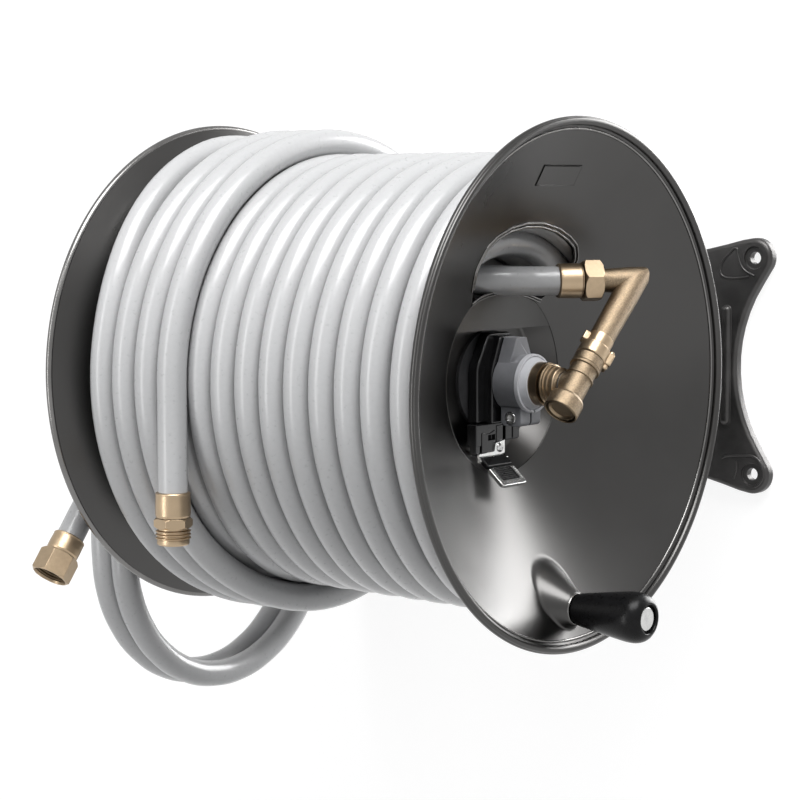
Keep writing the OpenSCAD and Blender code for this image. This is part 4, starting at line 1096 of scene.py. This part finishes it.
class REEL_OT_collar(bpy.types.Operator):
    """Makes the clamped collar with its ear, its lipped liner and its cap screw"""
    bl_idname = "hose_reel.collar"
    bl_label = "Collar"

    def execute(self, context):
        clear_bench()
        x0, x1, r, bore = COLLAR_X, COLLAR_X + 21, SPINDLE_R + 5, SPINDLE_R + 0.05
        ring = softened([(x0, bore), (x0, r), (x1, r), (x1, bore)], [0.2, 0.7, 0.9, 0.2], 3)
        collar = turned("collar", ring, steps=96)
        ear = softened([(-15, r - 8), (-15, r - 7), (-6.5, 34.5), (6.5, 34.5), (15, r - 7), (15, r - 8)],
                       [0, 3, 2.2, 2.2, 3, 0], 4)
        lug = softened([(x0 + 2, -18), (x0 + 2, -30), (x0 + 5, -32.5), (x1 - 2, -32.5), (x1, -30), (x1, -18)],
                       [0, 2.5, 2.5, 2.5, 2.5, 0], 4)
        fused(collar, pressed("ear", 0, x0, ear, 12, width=0.8, segments=3),
              pressed("lug", 1, -13, lug, 26, width=0.9, segments=3))
        cut_with(collar, rod("bore", (x0 - 2, 0, 0), (x1 + 2, 0, 0), bore, corners=128))
        cut_with(collar, block("slit", (x0 - 2, -1, -40), (x1 + 2, 1, -5), 0.05, 1))
        x, z = x0 + 11, -26.5
        cut_with(collar, rod("sink", (x, -14, z), (x, -8.5, z), 5.3, corners=48))
        cut_with(collar, rod("way", (x, -14, z), (x, 14, z), 3.2))
        round_edges(collar, 0.22, 1, 50)
        fit(collar, "collar", "grey_moulding", "grey", "retaining_collar", degrees=35)
        rl, a = r + 1, x1 + 0.01
        liner = turned("liner", softened(
            [(a, bore), (a, rl), (a + 3.5, rl - 0.3), (a + 3.5, rl - 2.0), (a + 2.4, rl - 2.4),
             (a + 3.2, 20.0),
             (a + 8.6, 17.6), (a + 8.6, bore)], [0.1, 0.3, 0.7, 0.6, 0.3, 0.8, 0.4, 0.1], 3), steps=96)
        cut_with(liner, block("slit", (a - 2, -1, -40), (a + 10, 1, -5), 0.05, 1))
        fit(liner, "liner", "pale_liner", "lining", "collar_liner", degrees=35)
        screw = softened([(0, 0), (0, 3.0), (17.6, 3.0), (17.6, 4.6), (22, 4.6), (22, 2.5), (19.4, 2.3),
                          (19.4, 0)],
                         [0, 0.3, 0, 0.3, 0.7, 0.3, 0.2, 0], 3)
        fit(turned_on("screw", screw, (x, 9, z), (0, -1, 0), steps=40),
            "cap_screw", "bright_steel", "black", "collar_screw")
        return {"FINISHED"}


class REEL_OT_lever(bpy.types.Operator):
    """Bends the brake's chrome plate, its ribbed lever and the black grip"""
    bl_idname = "hose_reel.lever"
    bl_label = "Brake lever"

    def execute(self, context):
        clear_bench()
        self.plate()
        self.rail()
        self.tongue()
        return {"FINISHED"}

    def lean(self, piece):
        """Turns a piece laid out along X from the pin onto the lever's own lean."""
        pin = mm(*LEVER_PIN)
        turn = Matrix.Rotation(math.radians(41), 4, "Y")
        piece.data.transform(Matrix.Translation(pin) @ turn @ Matrix.Translation(-pin))

    def plate(self):
        """A narrow folded strip under the block, with a tab at its right for the screw."""
        x1, y0, y1 = 111.8, -33.3, -1.7
        strip = pressed("strip", 0, x1, softened(
            [(y0, -56.6), (y0, -53.4), (y1 - 12, -52.6), (y1 - 10.4, -46.4), (y1 + 1, -44.8), (y1 + 1, -54.6),
             (y1 - 11, -56.6)], [0.5, 0.8, 1.2, 1.2, 0.8, 0.8, 0.8], 3), 1.5, width=0.35)
        lip = pressed("lip", 1, y0, softened([(x1 + 0.2, -54.2), (x1 + 3.4, -56.6), (x1 + 2.8, -58.2),
                                              (x1 + 0.2, -56.8)], 0.5, 2), 20.4, width=0.3)
        for y in [y0 + 3.2 + 4.6 * k for k in range(4)]:
            cut_with(lip, rod("dent", (x1 + 1.2, y - 1.5, -53.2), (x1 + 6.0, y + 1.1, -57.4), 1.1,
                              corners=12))
        fused(strip, lip)
        fit(strip, "brake_plate_chrome", "polished_chrome", "chrome", "brake_plate", degrees=40)
        head = turned_on("head", softened([(0, 0), (0, 3.7), (0.7, 3.7), (1.9, 2.2), (2.1, 0)],
                                          [0, 0, 0.5, 0.6, 0], 3), (113.2, -7, -50.0), (1, 0, 0), steps=32)
        for turn in (0.2, 0.2 + math.pi / 2):
            cross = block("cross", (114.6, -9.6, -50.5), (117, -4.4, -49.5), 0.1, 1)
            hub, way = mm(0, -7, -50.0), Matrix.Rotation(turn, 4, "X")
            cross.data.transform(Matrix.Translation(hub) @ way @ Matrix.Translation(-hub))
            cut_with(head, cross)
        fit(head, "screw_head", "bright_steel", "steel", "plate_screw", degrees=35)

    def rail(self):
        """A chrome rail round three sides of the tongue, with a groove, notches and its barrel."""
        x, y, z = LEVER_PIN

        def flat(name, corners, radii, steps, low, depth, **more):
            outline = [(x + a, y + b) for a, b in softened(corners, radii, steps)]
            return pressed(name, 2, z + low, outline, depth, **more)

        rail = flat("rail", [(9.5, -15.6), (27.4, -15.6), (27.4, 15.6), (9.5, 15.6)], [0.6, 3.4, 4.4, 0.6], 5,
                    -1.4, 3.2, width=0.8, segments=3)
        cut_with(rail, flat("window", [(-2, -10.6), (22.6, -10.6), (22.6, 10.6), (-2, 10.6)],
                            [0.4, 1.6, 1.8, 0.4], 4, -4, 8))
        cut_with(rail, block("groove", (x + 4, y - 14.1, z + 0.5), (x + 24.6, y - 13.0, z + 3), 0.1, 1))
        for i in range(7):
            a, b = x + 11.0 + 1.8 * i, x + 11.9 + 1.8 * i
            cut_with(rail, block("notch", (a, y + 12.4, z + 1.2), (b, y + 17, z + 3), 0.08, 1))
        round_edges(rail, 0.14, 1, 50)
        self.lean(rail)
        barrel = rod("barrel", (x, y - 13.9, z), (x, y + 13.9, z), 2.6, corners=40, width=0.4)
        fit(joined(rail, barrel), "lever_chrome", "polished_chrome", "chrome", "brake_lever", degrees=40)

    def tongue(self):
        """The ribbed black tongue inside the rail."""
        x, y, z = LEVER_PIN
        tongue = block("grip", (x + 1.5, y - 13.2, z - 1.3), (x + 23.1, y + 13.6, z + 0.7), 0.5, 2)
        fused(tongue, block("head", (x - 2.4, y - 15.4, z - 1.6), (x + 8.0, y + 15.4, z + 2.6), 1.2, 3))
        for a in [x + 8.6 + 1.82 * i for i in range(8)]:
            fused(tongue, block("rib", (a, y - 9.8, z), (a + 0.95, y + 9.8, z + 1.3), 0.25, 2))
        self.lean(tongue)
        fit(tongue, "lever_tongue", "knob_black", "black", "lever_grip", degrees=40)


# ------------------------------------------------------------------ water fittings
class REEL_OT_swivel(bpy.types.Operator):
    """Turns the spindle, the swivel's tee with its nut and plug, and the leaning pipe with its clip"""
    bl_idname = "hose_reel.swivel"
    bl_label = "Swivel and pipe"

    def execute(self, context):
        clear_bench()
        foot = (SWIVEL_X, 0, 0)
        tee = turned_on("tee", softened(
            [(-20.5, 0), (-20.5, 11.6), (-25.2, 11.9), (-25.6, 12.4), (-24.9, 13.4), (-14.2, 13.5),
             (-12.2, 12.6),
             (-11.9, 10.5), (6.6, 10.3), (7.0, 11.3), (8.2, 11.3), (8.5, 10.2), (9.2, 10.4), (16.2, 10.5),
             (16.6, 11.9), (18.2, 12.0), (18.7, 11.1), (19.4, 11.6), (26.2, 11.8), (26.8, 10.6), (27, 0)],
            [0, 0.2, 0.3, 0.5, 0.6, 0.5, 0.8, 0.8, 0.3, 0.25, 0.25, 0.2, 0.2, 0.3, 0.3, 0.3, 0.25, 0.25, 0.3,
             0.2, 0], 3), foot, LEAN, steps=96)
        fused(tee, turned("spigot", softened([(156, 0), (156, 12.6), (165.8, 12.6), (167, 10.6), (177, 10.2),
                                              (177, 0)], [0, 0, 0.4, 0.8, 0, 0], 4), steps=80))
        round_edges(tee, 0.25, 2, 50)
        fit(tee, "tee", "cast_brass", "brass", "swivel_body", degrees=45)
        plug = softened([(-22.9, 0), (-22.9, 8.2), (-23.6, 8.5), (-24.7, 9.6), (-24.5, 10.8), (-20.6, 10.8),
                         (-20.6, 0)], [0, 0.2, 0.3, 0.4, 0.4, 0.2, 0], 3)
        plug = turned_on("plug", plug, foot, LEAN, steps=64)
        fit(plug, "plug", "spindle_brass", "brass", "swivel_plug", degrees=35)
        self.ribbed_nut()
        self.pipe()
        self.clip(foot)
        fit(copy_of_solid("spindle", 0.3), "spindle_tube", "spindle_brass", "brass", "spindle")
        return {"FINISHED"}

    def ribbed_nut(self):
        """The swivel's nut with its rings."""
        x = 154.3
        nut = turned("ribbed_nut", softened(
            [(x, 12.7), (x, 14.4), (x + 0.8, 15.3), (x + 1.9, 15.4), (x + 2.2, 14.8), (x + 2.7, 14.8),
             (x + 3.0, 15.3), (x + 4.0, 15.3), (x + 4.4, 14.2), (x + 6.8, 14.0), (x + 7.3, 12.9),
             (x + 8.3, 12.8), (x + 8.8, 13.5), (x + 11.3, 13.3), (x + 11.9, 12.7)], 0.25, 2), steps=96)
        fit(nut, "ribbed_nut", "axis_brass", "brass", "swivel_nut", degrees=40)

    def pipe(self):
        """The leaning pipe and its outlet, mitred, with a blunt outer corner."""
        lean = turned_on("pipe", [(-90, 0), (-90, 9.7), (-48, 9.8), (-20, 10.3), (24, 10.4), (24, 0)],
                         ELBOW, LEAN, steps=72)
        run = turned_on("run", [(-24, 0), (-24, 10.4), (4, 10.3), (20, 9.2), (28.6, 9.0), (28.6, 0)],
                        ELBOW, OUTLET, steps=72)

        def trim(piece, place, way):
            """Takes off what lies beyond a plane and closes the cut."""
            open_up(piece)
            bpy.ops.mesh.bisect(plane_co=place, plane_no=way, use_fill=True, clear_outer=True)
            close_up()

        middle, seam, tip = mm(*ELBOW), (LEAN + OUTLET).normalized(), (LEAN - OUTLET).normalized()
        trim(lean, middle, seam)
        trim(run, middle, -seam)
        fused(lean, run)
        for turn in (0, -28, 28, -52, 52):
            way = Matrix.Rotation(math.radians(turn), 3, LEAN.cross(OUTLET)) @ tip
            trim(lean, middle + way * 0.0108, way)
        round_edges(lean, 1.2, 3, 20)
        fit(lean, "leaning_pipe", "cast_brass", "brass", "z_pipe", degrees=45)

    def clip(self, foot):
        """The split clip round the foot of the pipe, its two lugs and its pin."""
        across = LEAN.cross(Vector((0.631, -0.770, 0.0955))).normalized()
        place = Matrix((across, LEAN.cross(across), LEAN)).transposed().to_4x4()
        place.translation = mm(*foot)
        ring = turned_on("clip", softened([(27.2, 9.4), (27.2, 11.4), (28, 12.0), (37.2, 11.8), (38, 11.0),
                                           (38.4, 10.2), (47, 10.2), (47.4, 9.4)],
                                          [0.1, 0.3, 0.4, 0.4, 0.3, 0.3, 0.3, 0.1], 3), foot, LEAN, steps=72)
        for low, high in (((8.0, -4.6, 28.0), (15.4, 4.6, 38.4)), ((-13.6, -4.2, 37.6), (-8.0, 4.2, 45.4)),
                          ((9.2, -3.4, 24.2), (14.2, 3.4, 28.6))):
            lug = block("lug", (low[0], low[1] + WALL_GAP, low[2]), (high[0], high[1] + WALL_GAP, high[2]),
                        1.0, 3)
            lug.data.transform(place)
            fused(ring, lug)
        smooth(ring, 40)
        pin = rod("pin", (12.6, WALL_GAP, 26), (12.6, WALL_GAP, 41.4), 2.2, corners=24, width=0.5)
        pin.data.transform(place)
        fit(joined(ring, pin), "split_clip", "machined_brass", "brass", "pipe_clip", degrees=40)


class REEL_OT_fittings(bpy.types.Operator):
    """Turns the ferrules, hexagon nuts, the coupling and the threaded end of the hoses"""
    bl_idname = "hose_reel.fittings"
    bl_label = "Hose fittings"

    def execute(self, context):
        clear_bench()
        self.feed_side()
        self.leader_side()
        self.free_end()
        return {"FINISHED"}

    def sleeve(self, name, length, place, way):
        """A ferrule crimped over a hose, its mouth at place; the hose passes 3 mm into it."""
        r, neck = FERRULE_R, 6.6
        line = [(0.2, HOSE_R - 0.3), (0.2, r - 0.7), (0.9, r - 0.1), (2.2, r - 0.25), (length * 0.55, r),
                (length - 2.0, r - 0.1), (length - 1.2, r - 0.5), (length - 0.35, r - 0.6),
                (length - 0.35, neck), (3.4, neck), (3.4, HOSE_R - 0.3)]
        return turned_on(name, softened(line, 0.3, 2), place, way, steps=80)

    def feed_side(self):
        nut = nut_on("nut", HEX_ACROSS, OUTLET_L - 34, OUTLET_L - 19.5, 6.5, ELBOW, OUTLET, 12)
        fit(nut, "feed_nut", "machined_brass", "brass", "hose_nut")
        fit(self.sleeve("ferrule", 19.1, FEED_START, -OUTLET), "feed_sleeve", "feed_brass", "brass",
            "feed_ferrule")

    def leader_side(self):
        place, way, back = TAIL_END, TAIL_DIR, 16.3
        neck = turned_on("neck", softened([(14, 6.5), (14, 10), (23.6, 10), (23.6, 12.5), (25.6, 12.5),
                                           (25.6, 6.5)], 0.3, 2), place, way, steps=64)
        fit(joined(self.sleeve("ferrule", 16.0, place, way), neck),
            "leader_sleeve", "leader_brass", "brass", "leader_ferrule", degrees=35)
        nut = nut_on("nut", HEX_ACROSS, back, back + 20, 0, place, way, 4)
        cut_with(nut, turned_on("socket", self.thread_line(back), place, way, steps=72))
        fit(nut, "coupling_shell", "machined_brass", "brass", "coupling_nut", degrees=30)
        # Faces inside the socket, near its line and within 36 mm of the mouth, take the darker brass as
        # painted shade in the hollow.
        nut.data.materials.append(finish_of("spindle_brass"))
        mouth = mm(*place)
        for f in nut.data.polygons:
            reach = f.center - mouth
            if (reach - way * reach.dot(way)).length < 0.0139 and reach.dot(way) < 0.036:
                f.material_index = 1

    def thread_line(self, back):
        """The hollow of the coupling: the swivel's way, the washer's seat and the thread out to the mouth."""
        line = [(back - 1, 0), (back - 1, 10.1), (back + 7, 10.1), (back + 7, 13.0), (back + 11.9, 13.0)]
        x = back + 12
        while x < back + 17.6:
            line += [(x, 13.05), (x + 0.55, 13.7), (x + 1.1, 13.7), (x + 1.65, 13.05)]
            x += 2.2
        return line + [(back + 19.4, 13.7), (back + 21, 14.2), (back + 21, 0)]

    def free_end(self):
        """The ferrule, the hexagon and the outside thread at the end of the hose."""
        stand = END_LOW, (0, 0, -1)
        fit(self.sleeve("ferrule", 19.5, *stand), "end_sleeve", "end_brass", "brass", "end_ferrule")
        hexagon = nut_on("hexagon", 25.6, 19.6, 27.1, 0, *stand, 8)
        line = [(26.8, 0), (26.8, 11.4), (28.4, 11.4)]
        a = 28.5
        while a < 35:
            line += [(a, 11.9), (a + 0.7, 13.4), (a + 1.3, 13.4), (a + 2.0, 11.9)]
            a += 2.6
        line += [(36.9, 12.3), (39.0, 12.3), (39.6, 12.0), (40.1, 11.3), (40.1, 0)]
        fused(hexagon, turned_on("thread", line, *stand, steps=72))
        cut_with(hexagon, turned_on("way", [(21, 0), (21, 8), (42, 8), (42, 0)], *stand))
        fit(hexagon, "end_thread_fitting", "end_brass", "brass", "end_fitting", degrees=30)


# ------------------------------------------------------------------ crank
class REEL_OT_crank(bpy.types.Operator):
    """Turns the knob, with the recess for its bare cap"""
    bl_idname = "hose_reel.crank"
    bl_label = "Crank knob"

    def execute(self, context):
        clear_bench()
        x, end, line = KNOB_X, KNOB_X + KNOB_L, (0, -CRANK_R)
        side = [(0, 10.6), (0.4, 11.7), (1.8, 12.2), (10, 13.5), (20, 15.1), (30, 16.6), (38, 17.8),
                (43, 18.5),
                (47, 18.9), (50, 19.0), (53, 18.9), (56, 18.3), (58.6, 17.2), (60.6, 15.7), (62.0, 14.0),
                (62.8, 12.5), (63, 11.6), (62.6, 10.9), (61.8, 10.6), (60, 10.6), (60, 7.4), (51.7, 7.4),
                (51.7, 4.2), (0, 4.2)]
        knob = turned("knob", [(x + a, r) for a, r in side], line, steps=96, degrees=50)
        fit(knob, "knob", "knob_black", "black", "crank_knob")
        cap = turned("cap", softened([(end - 2.9, 0.0), (end - 2.9, 8.8), (end - 1.9, 8.8), (end - 1.6, 8.0),
                                      (end - 1.6, 0.0)], [0, 0.2, 0.35, 0.4, 0], 3), line)
        fit(cap, "cap", "bright_steel", "steel", "knob_cap")
        return {"FINISHED"}


# ------------------------------------------------------------------ finishes of what keeps its solid
class REEL_OT_finishes(bpy.types.Operator):
    """Gives every solid that still shows its finish"""
    bl_idname = "hose_reel.finishes"
    bl_label = "Finishes"

    def execute(self, context):
        for name, node in frame["nodes"].items():
            coat(node, NODE_FINISH[name])
        return {"FINISHED"}


class REEL_PT_panel(bpy.types.Panel):
    """Lists the steps that build the reel"""
    bl_idname = "REEL_PT_panel"
    bl_label = "Hose reel"
    bl_space_type = "VIEW_3D"
    bl_region_type = "UI"
    bl_category = "Hose reel"

    def draw(self, context):
        column = self.layout.column()
        for step in STEPS:
            column.operator(step.bl_idname)
        for group in (look(), sizes()):
            for name in group.__annotations__:
                column.prop(group, name)


STEPS = (REEL_OT_stage, REEL_OT_fittings, REEL_OT_leader, REEL_OT_winding, REEL_OT_hose_end,
         REEL_OT_feed_hose,
         REEL_OT_sides, REEL_OT_name_plate, REEL_OT_bracket, REEL_OT_hub, REEL_OT_collar, REEL_OT_lever,
         REEL_OT_swivel, REEL_OT_crank, REEL_OT_finishes)
CLASSES = (HoseReelLook, HoseReelSizes, *STEPS, REEL_PT_panel)


def register():
    for c in CLASSES:
        bpy.utils.register_class(c)
    bpy.types.Scene.hose_reel_look = bpy.props.PointerProperty(type=HoseReelLook)
    bpy.types.Scene.hose_reel_sizes = bpy.props.PointerProperty(type=HoseReelSizes)


def unregister():
    del bpy.types.Scene.hose_reel_look
    del bpy.types.Scene.hose_reel_sizes
    for c in reversed(CLASSES):
        bpy.utils.unregister_class(c)


def main():
    register()
    for step in STEPS:
        group, name = step.bl_idname.split(".")
        getattr(getattr(bpy.ops, group), name)()
    bpy.context.view_layer.update()


if __name__ == "__main__":
    main()
